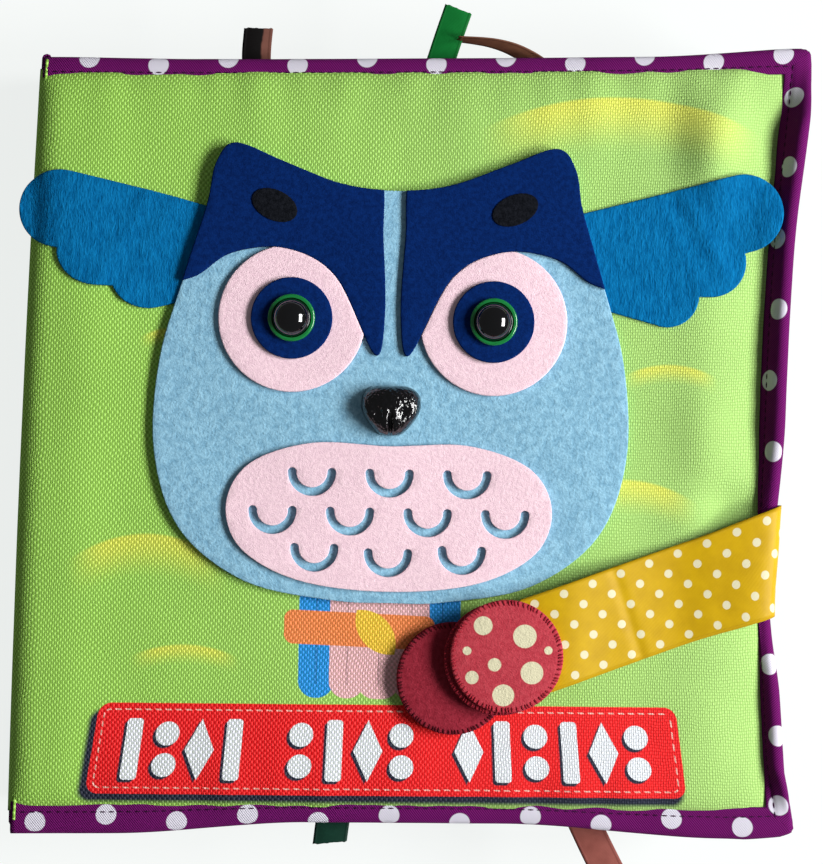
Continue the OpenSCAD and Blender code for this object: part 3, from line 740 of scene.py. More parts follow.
def mapped_grid(columns: int, rows: int, place: Place, cloth: Callable[[float, float], Point]) -> bmesh.types.BMesh:
    """A grid whose points are moved to where place puts them.

    Args:
        columns: Number of faces along the first direction.
        rows: Number of faces along the second direction.
        place: Gives a point for two shares from 0 to 1.
        cloth: Gives the UV of those shares, in millimetres.

    Returns:
        The mesh, with a UV map.
    """
    bm = bmesh.new()
    bmesh.ops.create_grid(bm, x_segments=columns, y_segments=rows, size=0.5)
    low = min(vert.co.x for vert in bm.verts)
    span = max(vert.co.x for vert in bm.verts) - low
    layer = bm.loops.layers.uv.new("UVMap")
    bm.verts.index_update()
    shares = {vert.index: ((vert.co.x - low) / span, (vert.co.y - low) / span) for vert in bm.verts}
    for face in bm.faces:
        middle = face.calc_center_median()
        centre = (middle.x - low) / span, (middle.y - low) / span
        for loop in face.loops:
            a, b = shares[loop.vert.index]
            loop[layer].uv = cloth(lerp(a, centre[0], 0.001), lerp(b, centre[1], 0.001))
    for vert in bm.verts:
        vert.co = place(*shares[vert.index])
    return bm


@dataclass(frozen=True)
class SoftPlan:
    """Plan of a soft square: where the corners and sides of the true square lie on the used book."""

    half_w: float
    half_h: float
    head_left: Point = (1.6, -2.0)
    head_right: Point = (0.0, 3.2)
    foot_right: Point = (-0.8, 1.0)
    foot_left: Point = (-3.0, -1.6)
    left_bow: float = -0.8
    right_bow: float = -4.9
    head_bow: float = -0.4
    foot_bow: float = 0.6

    def place(self, x: float, y: float) -> Point:
        """The place on the used book of a point of the true square."""
        s, t = x / self.half_w, y / self.half_h
        right, head = (1 + s) / 2, (1 + t) / 2
        weights = ((self.head_left, (1 - right) * head), (self.head_right, right * head),
                   (self.foot_right, right * (1 - head)), (self.foot_left, (1 - right) * (1 - head)))
        dx = sum(corner[0] * weight for corner, weight in weights)
        dy = sum(corner[1] * weight for corner, weight in weights)
        belly, middle = max(0.0, 1 - t * t), max(0.0, 1 - s * s)
        dx += self.right_bow * belly * smooth(0.2, 1.0, s) + self.left_bow * belly * smooth(-0.6, -1.0, s)
        dy += self.head_bow * middle * smooth(0.2, 1.0, t) + self.foot_bow * middle * smooth(-0.2, -1.0, t)
        return x + dx, y + dy


@dataclass
class Path:
    """A smooth curve through chosen points, which is asked for by the length along it."""

    points: Sequence[Vector]
    steps: int = 14
    samples: list[Vector] = field(init=False)
    lengths: list[float] = field(init=False)

    def __post_init__(self) -> None:
        """Lay the curve through its points."""
        last = len(self.points) - 1
        self.samples = []
        for number in range(last):
            a, b = self.points[max(number - 1, 0)], self.points[number]
            c, d = self.points[number + 1], self.points[min(number + 2, last)]
            for step in range(self.steps):
                t = step / self.steps
                self.samples.append(0.5 * (2 * b + (c - a) * t + (2 * a - 5 * b + 4 * c - d) * t * t
                                           + (3 * b - a - 3 * c + d) * t ** 3))
        self.samples.append(self.points[last].copy())
        self.lengths = [0.0]
        for here, there in zip(self.samples, self.samples[1:]):
            self.lengths.append(self.lengths[-1] + (there - here).length)

    @property
    def length(self) -> float:
        """Length of the whole curve."""
        return self.lengths[-1]

    def at(self, run: float) -> Vector:
        """The point at a length along the curve."""
        run = min(max(run, 0.0), self.length)
        number = max(bisect.bisect_left(self.lengths, run) - 1, 0)
        span = self.lengths[number + 1] - self.lengths[number]
        return self.samples[number].lerp(self.samples[number + 1], (run - self.lengths[number]) / max(span, 1e-9))


def add_wall(piece: bpy.types.Object, thickness: float, offset: float = 0.0) -> None:
    """Give a sheet its thickness, in millimetres."""
    wall = piece.modifiers.new("wall", "SOLIDIFY")
    wall.thickness = thickness * MM
    wall.offset = offset


@dataclass
class Binding:
    """The tape round a cover or a leaf, which also says how the bound edge lies.

    The path runs along the head from the spine, down the fore-edge and back along the foot. Across the
    path, the tape starts at its seam on the outer face, rounds the edge and ends on the inner face.
    """

    plan: SoftPlan
    mid_z: float
    upward: float
    left_x: float
    seam: float = 7.5
    edge: float = 3.6
    corner: float = 3.4
    bulge: float = 0.25
    seed: float = 0.0
    columns: int = 159
    rows: int = 20

    def side(self, s: float) -> tuple[int, float]:
        """The side that share s of the path lies on, and the share of that side."""
        place = min(max(s, 0.0), 0.999999) * 3
        return int(place), place - int(place)

    def flat(self, s: float, inset: float) -> Point:
        """The place on the true square of a point inset from the edge."""
        number, share = self.side(s)
        right, high = self.plan.half_w - inset, self.plan.half_h - inset
        if number == 0:
            return lerp(self.left_x, right, share), high
        if number == 1:
            return right, lerp(high, -high, share)
        return lerp(right, self.left_x, share), -high

    def visible(self, s: float) -> float:
        """Width of the tape as seen from above, from its seam to its outer edge."""
        return self.seam

    def lean(self, s: float) -> float:
        """Angle by which the tape stands up, in radians."""
        return 0.0

    def lane(self, s: float) -> float:
        """Width of the tape's flat part, so that its rounded edge ends at the visible width."""
        half, lean = self.edge / 2, self.lean(s)
        return (self.visible(s) - half * (1 + math.sin(lean))) / math.cos(lean)

    def section(self, q: float, lane: float) -> Point:
        """A point of the folded tape's section: the run from its seam, and the height over its outer face."""
        half = self.edge / 2
        if q < 0.4:
            t = q / 0.4
            groove = -0.3 * math.exp(-((t - 0.4) / 0.11) ** 2)
            return lane * t, self.bulge * math.sin(math.pi * t) + groove
        if q <= 0.6:
            angle = math.pi / 2 - math.pi * (q - 0.4) / 0.2
            return lane + half * math.cos(angle), half * math.sin(angle) - half
        t = (q - 0.6) / 0.4
        return lane * (1 - t), -self.edge

    def spread(self, s: float, q: float) -> tuple[float, float, float]:
        """The true square's place, and the rise over the middle, of a point of the leaning tape."""
        lean = self.lean(s)
        run, height = self.section(q, self.lane(s))
        out = run * math.cos(lean) - height * math.sin(lean)
        rise = self.edge / 2 + run * math.sin(lean) + height * math.cos(lean)
        return *self.flat(s, self.seam - out), rise

    def rounded(self, x: float, y: float) -> Point:
        """A place of the true square, drawn in where it lies outside a rounded fore-edge corner."""
        spare = self.visible(1 / 3 if y > 0 else 2 / 3) - self.seam - self.corner
        off_x = x - self.plan.half_w - spare
        off_y = abs(y) - self.plan.half_h - spare
        reach = math.hypot(off_x, off_y)
        if min(off_x, off_y) <= 0 or reach <= self.corner:
            return x, y
        share = self.corner / reach - 1
        return x + off_x * share, y + math.copysign(1.0, y) * off_y * share

    def point(self, s: float, q: float) -> Vector:
        """A point of the tape's outer face, for shares of its path and of its section."""
        x, y, rise = self.spread(s, q)
        x, y = self.plan.place(*self.rounded(x, y))
        ripple = 0.25 * wave(s * 600, self.seed, 13.0) + 0.35 * wave(s * 600, self.seed + 7, 45.0)
        return Vector((x, y, self.mid_z + self.upward * (rise + ripple)))

    def cloth(self, s: float, q: float) -> Point:
        """The place on the flat tape of a point: along it, and across it from its seam."""
        x, y, _ = self.spread(s, q)
        wide, long = self.plan.half_w - self.left_x, 2 * self.plan.half_h
        along = (x - self.left_x, wide + long / 2 - y, wide + long + self.plan.half_w - x)[self.side(s)[0]]
        lane, turn = self.lane(s), math.pi * self.edge / 2
        across = lane * min(q / 0.4, 1.0) + turn * min(max((q - 0.4) / 0.2, 0.0), 1.0)
        return along, across + lane * max((q - 0.6) / 0.4, 0.0)

    def build(self, name: str, body: Body, replaces: str) -> bpy.types.Object:
        """Sweep the tape and give it its thickness.

        Args:
            name: Name of the piece.
            body: Body that the tape moves with.
            replaces: Solid of the frame that the tape stands for.

        Returns:
            The tape.
        """
        bm = mapped_grid(self.columns, self.rows, self.point, self.cloth)
        area = sum(face.calc_area() for face in bm.faces)
        piece = finish_piece(bm, name, body, "purple_tape", ["tape"], [replaces], recalc=False)
        add_wall(piece, 0.6, -self.upward)
        return piece

    def stitches(self, name: str, body: Body) -> bpy.types.Object:
        """Sew a line of short stitches along the tape."""
        bm = bmesh.new()
        count = int(6 * self.plan.half_w / 2.3)
        for number in range(count):
            s = (number + 0.5) / count
            here, ahead = self.point(s, 0.16), self.point(s + 0.0005, 0.16)
            if not 1e-6 < (ahead - here).length < 1.0:
                continue
            turn = (ahead - here).to_track_quat("X", "Z").to_matrix().to_4x4()
            lift = Matrix.Translation(here + Vector((0, 0, 0.12 * self.upward)))
            made = bmesh.ops.create_uvsphere(bm, u_segments=6, v_segments=4, radius=1.0)
            shape = Matrix.Diagonal((0.85, 0.2, 0.2, 1.0))
            bmesh.ops.transform(bm, matrix=lift @ turn @ shape, verts=made["verts"])
        return finish_piece(bm, name, body, "purple_tape", ["thread"])


@dataclass
class FrontBinding(Binding):
    """The front cover's tape, which stands up along the fore-edge and narrows under the strap."""

    strap_y: float = -34.0
    fore_lean: float = math.radians(55)

    def visible(self, s: float) -> float:
        """Width of the tape as seen from above."""
        number, share = self.side(s)
        x, y = self.flat(s, self.seam)
        head = 5.2 + 1.9 * smooth(55, 98, x) + 0.5 * smooth(-60, -98, x)
        pressed = 2.0 * math.exp(-((y - self.strap_y) / 19) ** 2)
        fore = 5.7 + 0.7 * smooth(-20, 6, y) + 1.0 * smooth(45, 78, y) - 0.9 * smooth(84, 100, y)
        fore += 0.5 * smooth(-78, -98, y) - 1.2 * smooth(-22, -46, y) + 0.6 * smooth(-48, -62, y) - 0.8 * pressed
        foot = 5.6 + 3.0 * smooth(25, 75, abs(x)) + 0.6 * smooth(75, 96, x)
        widths = (head, fore, foot)
        near = 0.07
        if share < near and number:
            return lerp((widths[number - 1] + widths[number]) / 2, widths[number], share / near)
        if share > 1 - near and number < 2:
            return lerp((widths[number] + widths[number + 1]) / 2, widths[number], (1 - share) / near)
        return widths[number]

    def lean(self, s: float) -> float:
        """Angle by which the tape stands up along the fore-edge."""
        number, share = self.side(s)
        if number != 1:
            return 0.0
        held = 1 - 0.35 * math.exp(-((self.flat(s, self.seam)[1] - self.strap_y) / 18) ** 2)
        return self.fore_lean * held * smooth(0.01, 0.1, share) * smooth(0.99, 0.93, share)

    def outer_x(self, y: float) -> float:
        """How far the fore-edge reaches at a height on the cover."""
        share = (self.plan.half_h - y) / (2 * self.plan.half_h)
        return self.point((1 + share) / 3, 0.5).x


@dataclass
class Pad:
    """The padded cloth of a cover or a leaf: a crowned, closed form held in its binding."""

    binding: Binding
    outer: float
    inner: float
    body: Body
    roll_x: float = -93.4
    roll_reach: float = 7.4
    tuck: float = 2.6
    pillow: Point = (24.0, 14.0)
    slack: float = 0.6
    gather: float = 0.75
    ridges: Sequence[tuple[float, float, float, float, float]] = ()
    seed: float = 3.0
    columns: int = 300
    rows: int = 150

    def limit(self) -> Point:
        """Where the pad ends inside its tape: across at the fore-edge, and along at the head and foot."""
        inset = self.binding.seam - self.tuck
        return self.binding.plan.half_w - inset, self.binding.plan.half_h - inset

    def puff(self, x: float, y: float) -> float:
        """Share of the full thickness at a point: 0 at the bound edges and 1 inside."""
        right, high = self.limit()
        across, along = self.pillow
        share = 1.0
        for distance, width in ((right - x, across), (high - y, along), (y + high, along)):
            t = min(max(distance / width, 0.0), 1.0)
            share *= (1 - (1 - t) ** 2.3) ** 0.62
        return share

    def wrinkle(self, x: float, y: float) -> float:
        """Height of the folds in the cloth at a point, and of its chosen ridges and dents."""
        right, high = self.limit()
        near_side = math.exp(-max(right - x, 0.0) / 16.0)
        near_ends = math.exp(-max(min(high - y, y + high), 0.0) / 14.0)
        gathers = near_side * wave(x * 0.25, y, 8.0, self.seed)
        gathers += near_ends * wave(x, y * 0.25, 8.0, self.seed + 4)
        rise = sum(height * math.exp(-((x - cx) / wide) ** 2 - ((y - cy) / long) ** 2)
                   for cx, cy, wide, long, height in self.ridges)
        slack = self.slack * wave(x + 0.5 * y, y - 0.4 * x, 28.0, self.seed + 9)
        return self.gather * gathers + slack + rise

    def outer_z(self, x: float, y: float) -> float:
        """Level of the pad's outer face at a point."""
        share = self.puff(x, y)
        folds = self.binding.upward * self.wrinkle(x, y) * min(1.0, share * 1.6)
        return lerp(self.binding.mid_z, self.outer, share) + folds

    def inner_z(self, x: float, y: float) -> float:
        """Level of the pad's inner face at a point."""
        return lerp(self.binding.mid_z, self.inner, self.puff(x, y))

    @property
    def turn(self) -> float:
        """Length of the cloth round the spine edge of the pad."""
        return math.pi * (self.roll_reach + abs(self.outer - self.inner) / 2) / 2

    def point(self, a: float, b: float) -> Vector:
        """A point of the pad: a runs round its section from the fore-edge, and b from foot to head."""
        right, high = self.limit()
        y = lerp(-high, high, b)
        straight = right - self.roll_x
        run = a * (2 * straight + self.turn)
        if run <= straight:
            x = right - run
            z = self.outer_z(x, y)
        elif run >= straight + self.turn:
            x = self.roll_x + run - straight - self.turn
            z = self.inner_z(x, y)
        else:
            angle = math.pi * (run - straight) / self.turn
            top, low = self.outer_z(self.roll_x, y), self.inner_z(self.roll_x, y)
            x = self.roll_x - self.roll_reach * math.sin(angle)
            z = (top + low) / 2 + (top - low) / 2 * math.cos(angle)
        x, y = self.binding.plan.place(x, y)
        return Vector((x, y, z))

    def build(self, name: str, finish: str, slot: str, replaces: Sequence[str]) -> bpy.types.Object:
        """Make the closed pad.

        Args:
            name: Name of the piece.
            finish: Palette name of its cloth.
            slot: Material slot of the record.
            replaces: Solids of the frame that the pad stands for.

        Returns:
            The pad.
        """
        right, high = self.limit()
        total = 2 * (right - self.roll_x) + self.turn

        def cloth(a: float, b: float) -> Point:
            """The place on the flat cloth of a point of the pad."""
            return a * total, b * 2 * high

        bm = mapped_grid(self.columns, self.rows, self.point, cloth)
        rims = [vert for vert in bm.verts if vert.is_boundary]
        bmesh.ops.remove_doubles(bm, verts=rims, dist=0.004)
        piece = finish_piece(bm, name, self.body, slot, [finish], replaces)
        return piece

    def lining(self, name: str, rests_on: str, replaces: str) -> bpy.types.Object:
        """Make the lining, a thin sheet over the pad's inner face."""
        right, high = self.limit()
        left = self.roll_x - self.roll_reach * 0.4
        way = self.binding.upward

        def place(a: float, b: float) -> Vector:
            """A point of the lining."""
            x, y = lerp(left, right, a), lerp(-high, high, b)
            z = self.inner_z(max(x, self.roll_x), y) - 0.12 * way + 0.9 * way * smooth(self.roll_x, left, x)
            return Vector((*self.binding.plan.place(x, y), z))

        def cloth(a: float, b: float) -> Point:
            """The place on the flat lining of a point."""
            return a * (right - left), b * 2 * high

        bm = mapped_grid(90, 90, place, cloth)
        piece = finish_piece(bm, name, self.body, "lining_cloth", ["lining"], [replaces], recalc=False)
        add_wall(piece, 0.2)
        return piece


def split_by_grid(bm: bmesh.types.BMesh, step: float) -> None:
    """Cut every face along a square grid of planes, step millimetres apart."""
    for axis in (0, 1):
        low = min(vert.co[axis] for vert in bm.verts)
        high = max(vert.co[axis] for vert in bm.verts)
        normal = Vector((1, 0, 0)) if axis == 0 else Vector((0, 1, 0))
        for number in range(math.ceil(low / step), math.floor(high / step) + 1):
            everything = bm.verts[:] + bm.edges[:] + bm.faces[:]
            bmesh.ops.bisect_plane(bm, geom=everything, dist=1e-4, plane_co=normal * number * step,
                                   plane_no=normal)


@dataclass
class FeltLayer:
    """A piece of felt that is cut to a solid's outline and laid over the soft cover."""

    node: str
    finish: str
    slot: str
    cover: Pad
    step: float = 2.5
    rim: float = 0.35
    shape: Callable[[float, float], float] | None = None
    reach: float = 0.0
    seed: float = 0.0

    def cut(self) -> bmesh.types.BMesh:
        """The solid's outline as clean felt with a softened upper rim."""
        bm = bmesh.new()
        bm.from_mesh(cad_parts[self.node].data)
        bmesh.ops.scale(bm, vec=(1 / MM, 1 / MM, 1 / MM), verts=bm.verts)
        bmesh.ops.remove_doubles(bm, verts=bm.verts, dist=0.002)
        bmesh.ops.dissolve_limit(bm, angle_limit=math.radians(1.0), verts=bm.verts, edges=bm.edges)
        top = max(vert.co.z for vert in bm.verts)
        rims = [edge for edge in bm.edges if len(edge.link_faces) == 2
                and all(abs(vert.co.z - top) < 0.01 for vert in edge.verts)
                and edge.calc_face_angle(0.0) > 1.0]
        bmesh.ops.bevel(bm, geom=rims, offset=self.rim, segments=3, profile=0.5, affect="EDGES", material=-1,
                        clamp_overlap=True)
        split_by_grid(bm, self.step)
        return bm

    def build(self, replaces: Sequence[str] = ()) -> bpy.types.Object:
        """Cut and lay the felt."""
        bm = self.cut()
        bm.normal_update()
        low, high = node_box(self.node)
        area = sum(face.calc_area() for face in bm.faces if face.normal.z > 0.7)
        for vert in bm.verts:
            vert.co.x += math.copysign(self.reach * smooth(60, 97, abs(vert.co.x)), vert.co.x)
            x, y = vert.co.x, vert.co.y
            base = self.cover.outer_z(x, y) - self.cover.outer
            share = min(max((vert.co.z - low.z) / (high.z - low.z), 0.0), 1.0)
            ripple = 0.1 * share * wave(x, y, 16.0, self.seed + 20)
            vert.co.z += max(base, -0.3) + ripple + (self.shape(x, y) if self.shape else 0.0)
        layer = bm.loops.layers.uv.verify()
        for face in bm.faces:
            for loop in face.loops:
                loop[layer].uv = loop.vert.co.xy
        piece = finish_piece(bm, self.node.replace("owl_", "felt_") + "_soft", Body.FRONT, self.slot, [self.finish],
                             [self.node, *replaces])
        size = high - low
        min(size.x, size.y) > 10
        return piece


def lathe(profile: Sequence[Point], centre: Vector, steps: int = 64) -> bmesh.types.BMesh:
    """A closed round form about an upright axis.

    Args:
        profile: Points as (radius, height over the centre), from the upper pole to the lower one.
        centre: Foot of the axis.
        steps: Number of faces round the form.

    Returns:
        The mesh.
    """
    bm = bmesh.new()
    verts = [bm.verts.new((centre.x + radius, centre.y, centre.z + height)) for radius, height in profile]
    edges = [bm.edges.new(pair) for pair in zip(verts, verts[1:])]
    bmesh.ops.spin(bm, geom=verts + edges, cent=centre, axis=(0, 0, 1), angle=2 * math.pi, steps=steps,
                   use_merge=True)
    bmesh.ops.remove_doubles(bm, verts=bm.verts, dist=0.003)
    return bm


@dataclass
class FeltDisc:
    """A round felt disc with a domed top and an overcast edge."""

    node: str
    finish: str
    slot: str
    crown: float = 0.5
    stitch: str = "red_thread"
    shift: Point = (0.0, 0.0)
    sink: float = 0.0

    def build(self, replaces: Sequence[str] = ()) -> None:
        """Make the disc and the stitches round it."""
        low, high = node_box(self.node)
        radius = (high.x - low.x) / 2
        centre = Vector(((low.x + high.x) / 2 + self.shift[0], (low.y + high.y) / 2 + self.shift[1],
                         low.z - self.sink))
        deep = high.z - low.z
        rim = min(0.6, deep / 2.5)
        profile = [(radius * t, deep + self.crown * (1 - t * t)) for t in (0.0, 0.25, 0.5, 0.7, 0.85)]
        for number in range(7):
            angle = math.pi / 2 - number * math.pi / 6
            z = deep - rim if angle >= 0 else rim
            profile.append((radius - rim + rim * math.cos(angle), z + rim * math.sin(angle)))
        profile.append((0.0, 0.0))
        bm = lathe(profile, centre, 96)
        for vert in bm.verts:
            vert.co.z += 0.12 * wave(vert.co.x, vert.co.y, 7.0, 31.0)
        piece = finish_piece(bm, self.node + "_soft", Body.FRONT, self.slot, [self.finish], [self.node, *replaces])
        self.overcast(centre, radius, deep)

    def overcast(self, centre: Vector, radius: float, deep: float) -> None:
        """Sew short stitches over the edge of the disc, all the way round."""
        bm = bmesh.new()
        count = 84
        for number in range(count):
            angle = 2 * math.pi * (number + 0.3 * math.sin(5 * number)) / count
            place = centre + Vector((math.cos(angle), math.sin(angle), 0)) * (radius - 0.75)
            place.z = centre.z + deep + 0.05
            made = bmesh.ops.create_uvsphere(bm, u_segments=6, v_segments=4, radius=1.0)
            turn = Matrix.Rotation(angle + 0.25, 4, "Z")
            shape = Matrix.Diagonal((0.85, 0.3, 0.2, 1.0))
            bmesh.ops.transform(bm, matrix=Matrix.Translation(place) @ turn @ shape, verts=made["verts"])
        finish_piece(bm, self.node + "_stitches", Body.FRONT, self.slot, [self.stitch])


@dataclass
class Strap:
    """The satin ribbon that runs from the red disc over the fore-edge and under the cover."""

    cover: Pad
    binding: FrontBinding
    width: float = 25.0
    slant: float = math.radians(20)

    def build(self) -> bpy.types.Object:
        """Lay the ribbon."""
        low, high = node_box("strap_ribbon")
        disc_low, disc_high = node_box("strap_disc_front")
        start_x, start_y = (disc_low.x + disc_high.x) / 2, (disc_low.y + disc_high.y) / 2
        top, under = high.z, low.z
        slope = math.tan(self.slant)
        span = self.width / math.cos(self.slant)
        proud = 0.9
        fold_x = self.binding.outer_x(start_y + (95 - start_x) * slope) + proud
        path = Path([Vector(point) for point in (
            (low.x, top - 0.3), (low.x + 12, top - 0.3), (low.x + 25, top - 2.7), (low.x + 40, top - 4.9),
            (fold_x - 16, top - 4.6), (fold_x - 7, top - 4.3), (fold_x - 1.8, top - 4.9),
            (fold_x + 0.2, top - 6.8), (fold_x + 0.3, top - 10), (fold_x - 0.4, under + 1.2),
            (fold_x - 2.5, under + 0.3), (fold_x - 8, under + 0.4))])

        def place(a: float, b: float) -> Vector:
            """A point of the ribbon."""
            flat = path.at(a * path.length)
            flare = 1 + 0.08 * smooth(fold_x - 22, fold_x, flat.x)
            y = start_y + (flat.x - start_x) * slope + (b - 0.5) * span * flare
            shift = (self.binding.outer_x(y) + proud - fold_x) * smooth(fold_x - 22, fold_x - 2, flat.x)
            crease = math.exp(-((flat.x - 60 + 0.35 * (y - start_y)) / 1.6) ** 2)
            z = flat.y - 0.3 * crease + 0.25 * wave(flat.x, y, 18.0, 51.0) * smooth(40, 60, flat.x)
            return Vector((flat.x + shift, y, z))

        def cloth(a: float, b: float) -> Point:
            """The place on the flat ribbon of a point."""
            across = (b - 0.5) * span
            return a * path.length / math.cos(self.slant) + across * math.sin(self.slant), \
                across * math.cos(self.slant)

        bm = mapped_grid(220, 32, place, cloth)
        area = sum(face.calc_area() for face in bm.faces)
        piece = finish_piece(bm, "strap_satin", Body.FRONT, "yellow_ribbon", ["strap"], ["strap_ribbon"],
                             recalc=False)
        add_wall(piece, 0.35)
        return piece


@dataclass
class RibbonTab:
    """A short ribbon that sticks out of the leaves, with a cut, slightly frayed end."""

    name: str
    node: str
    finish: str
    slot: str
    path: Path
    across: Sequence[Vector]
    width: float

    def build(self) -> bpy.types.Object:
        """Lay the ribbon along its path."""
        spread = Path(self.across)

        def place(a: float, b: float) -> Vector:
            """A point of the ribbon."""
            here = self.path.at(a * self.path.length)
            way = spread.at(a * spread.length) if spread.length > 0 else self.across[0].copy()
            fray = 0.35 * a ** 12 * wave(b * 40, 0.0, 1.3, 5.0)
            ahead = (self.path.at(self.path.length) - self.path.at(self.path.length - 1)).normalized()
            curl = 0.3 * math.sin(math.pi * b) * smooth(0.1, 0.6, a)
            return here + way.normalized() * (b - 0.5) * self.width + ahead * fray + Vector((0, 0, curl))

        def cloth(a: float, b: float) -> Point:
            """The place on the flat ribbon of a point."""
            return a * self.path.length, (b - 0.5) * self.width

        bm = mapped_grid(40, 14, place, cloth)
        piece = finish_piece(bm, self.name, Body.PAGES, self.slot, [self.finish], [self.node], recalc=False)
        add_wall(piece, 0.3)
        return piece


@dataclass
class Beak:
    """The moulded beak: a rounded triangle, point down, with a groove and two dimples."""

    def build(self) -> bpy.types.Object:
        """Shape the beak from a ball."""
        low, high = node_box("beak")
        base = node_box("owl_body_felt")[1].z
        centre = Vector(((low.x + high.x) / 2, (low.y + high.y) / 2, base))
        half_w, half_l, tall = (high.x - low.x) / 2, (high.y - low.y) / 2, high.z - base
        bm = bmesh.new()
        bmesh.ops.create_uvsphere(bm, u_segments=96, v_segments=64, radius=1.0)
        for vert in bm.verts:
            x, y, z = vert.co
            narrow = lerp(1.0, 0.52, smooth(0.15, -1.0, y))
            square = 1 + 0.16 * (1 - (x * x - y * y) ** 2) * math.hypot(x, y)
            rise = max(z, -0.25) if z < 0 else z ** 0.8
            groove = 0.24 * math.exp(-(x / 0.1) ** 2) * smooth(0.25, -0.5, y) * smooth(-0.2, 0.3, z)
            dimples = 0.16 * math.exp(-((abs(x) - 0.42) / 0.17) ** 2 - ((y + 0.05) / 0.22) ** 2) * smooth(0.1, 0.6, z)
            vert.co = centre + Vector((x * narrow * square * half_w, (y * square + 0.02) * half_l,
                                       tall * (rise - groove - dimples)))
        return finish_piece(bm, "beak_moulded", Body.FRONT, "black_plastic", ["beak"], ["beak"])


@dataclass
class Spine:
    """The cloth over the spine, and the tape at its head and foot."""

    plan: SoftPlan

    def build(self) -> None:
        """Make the three pieces."""
        low, high = node_box("spine_cloth")
        mid_x = (low.x + high.x) / 2
        tall, long = high.z - low.z, high.y - low.y

        def place(a: float, b: float) -> Vector:
            """A point of the spine cloth, whose ends are tucked into the rolled edges of the covers."""
            y = lerp(low.y, high.y, b)
            x = mid_x + 0.5 - 1.5 * math.sin(math.pi * a) + 0.3 * wave(a * 30, y, 17.0, 61.0)
            px, py = self.plan.place(x, y)
            return Vector((px + 0.3, py, lerp(low.z - 1.0, high.z + 0.2, a)))

        def cloth(a: float, b: float) -> Point:
            """The place on the flat cloth of a point."""
            return a * tall, b * long

        bm = mapped_grid(24, 120, place, cloth)
        piece = finish_piece(bm, "spine_cover", Body.PAGES, "green_cloth", ["back_print"], ["spine_cloth"],
                             recalc=False)
        add_wall(piece, 0.7)
        for node, way in (("spine_binding_head", 1), ("spine_binding_foot", -1)):
            self.tape(node, way)

    def tape(self, node: str, way: int) -> bpy.types.Object:
        """Fold the tape over one end of the spine."""
        low, high = node_box(node)
        wide = high.y - low.y
        edge_y = high.y if way > 0 else low.y

        def place(a: float, b: float) -> Vector:
            """A point of the tape: a runs up the spine, and b from its outer side over the edge and in."""
            angle = math.pi * min(max((b - 0.4) / 0.2, 0.0), 1.0)
            run = wide * (min(b / 0.4, 1.0) - max((b - 0.6) / 0.4, 0.0))
            half = (high.x - low.x) / 2
            x = (low.x + high.x) / 2 - half * math.cos(angle) - 1.3 * math.sin(math.pi * a)
            y = edge_y - way * (wide - run) + way * 0.8 * math.sin(angle)
            px, py = self.plan.place(x, y)
            return Vector((px + 0.2, py, lerp(low.z, high.z + 1.0, a) + 0.2 * wave(a * 30, b * 20, 9.0, 71.0)))

        def cloth(a: float, b: float) -> Point:
            """The place on the flat tape of a point."""
            return a * (high.z - low.z), b * 2 * wide

        bm = mapped_grid(24, 20, place, cloth)
        area = sum(face.calc_area() for face in bm.faces)
        piece = finish_piece(bm, node + "_soft", Body.PAGES, "purple_tape", ["tape"], [node], recalc=False)
        add_wall(piece, 0.5)
        return piece


def add_lamp(name: str, place: Vector, size: Point, power: float, aim: Vector, mirrored: bool = True) -> None:
    """Hang a rectangular lamp over the book and turn it to a point.

    Args:
        name: Name of the lamp.
        place: Place of the lamp, in metres.
        size: Width and height of the lamp, in metres.
        power: Power in watts.
        aim: Point that the lamp faces.
        mirrored: Whether glossy faces show the lamp.
    """
    data = bpy.data.lights.new(name, "AREA")
    data.shape = "RECTANGLE"
    data.size, data.size_y = size
    data.energy = power
    lamp = bpy.data.objects.new(name, data)
    lamp.location = place
    lamp.rotation_euler = (aim - place).to_track_quat("-Z", "Z").to_euler()
    lamp.visible_glossy = mirrored
    bpy.context.scene.collection.objects.link(lamp)


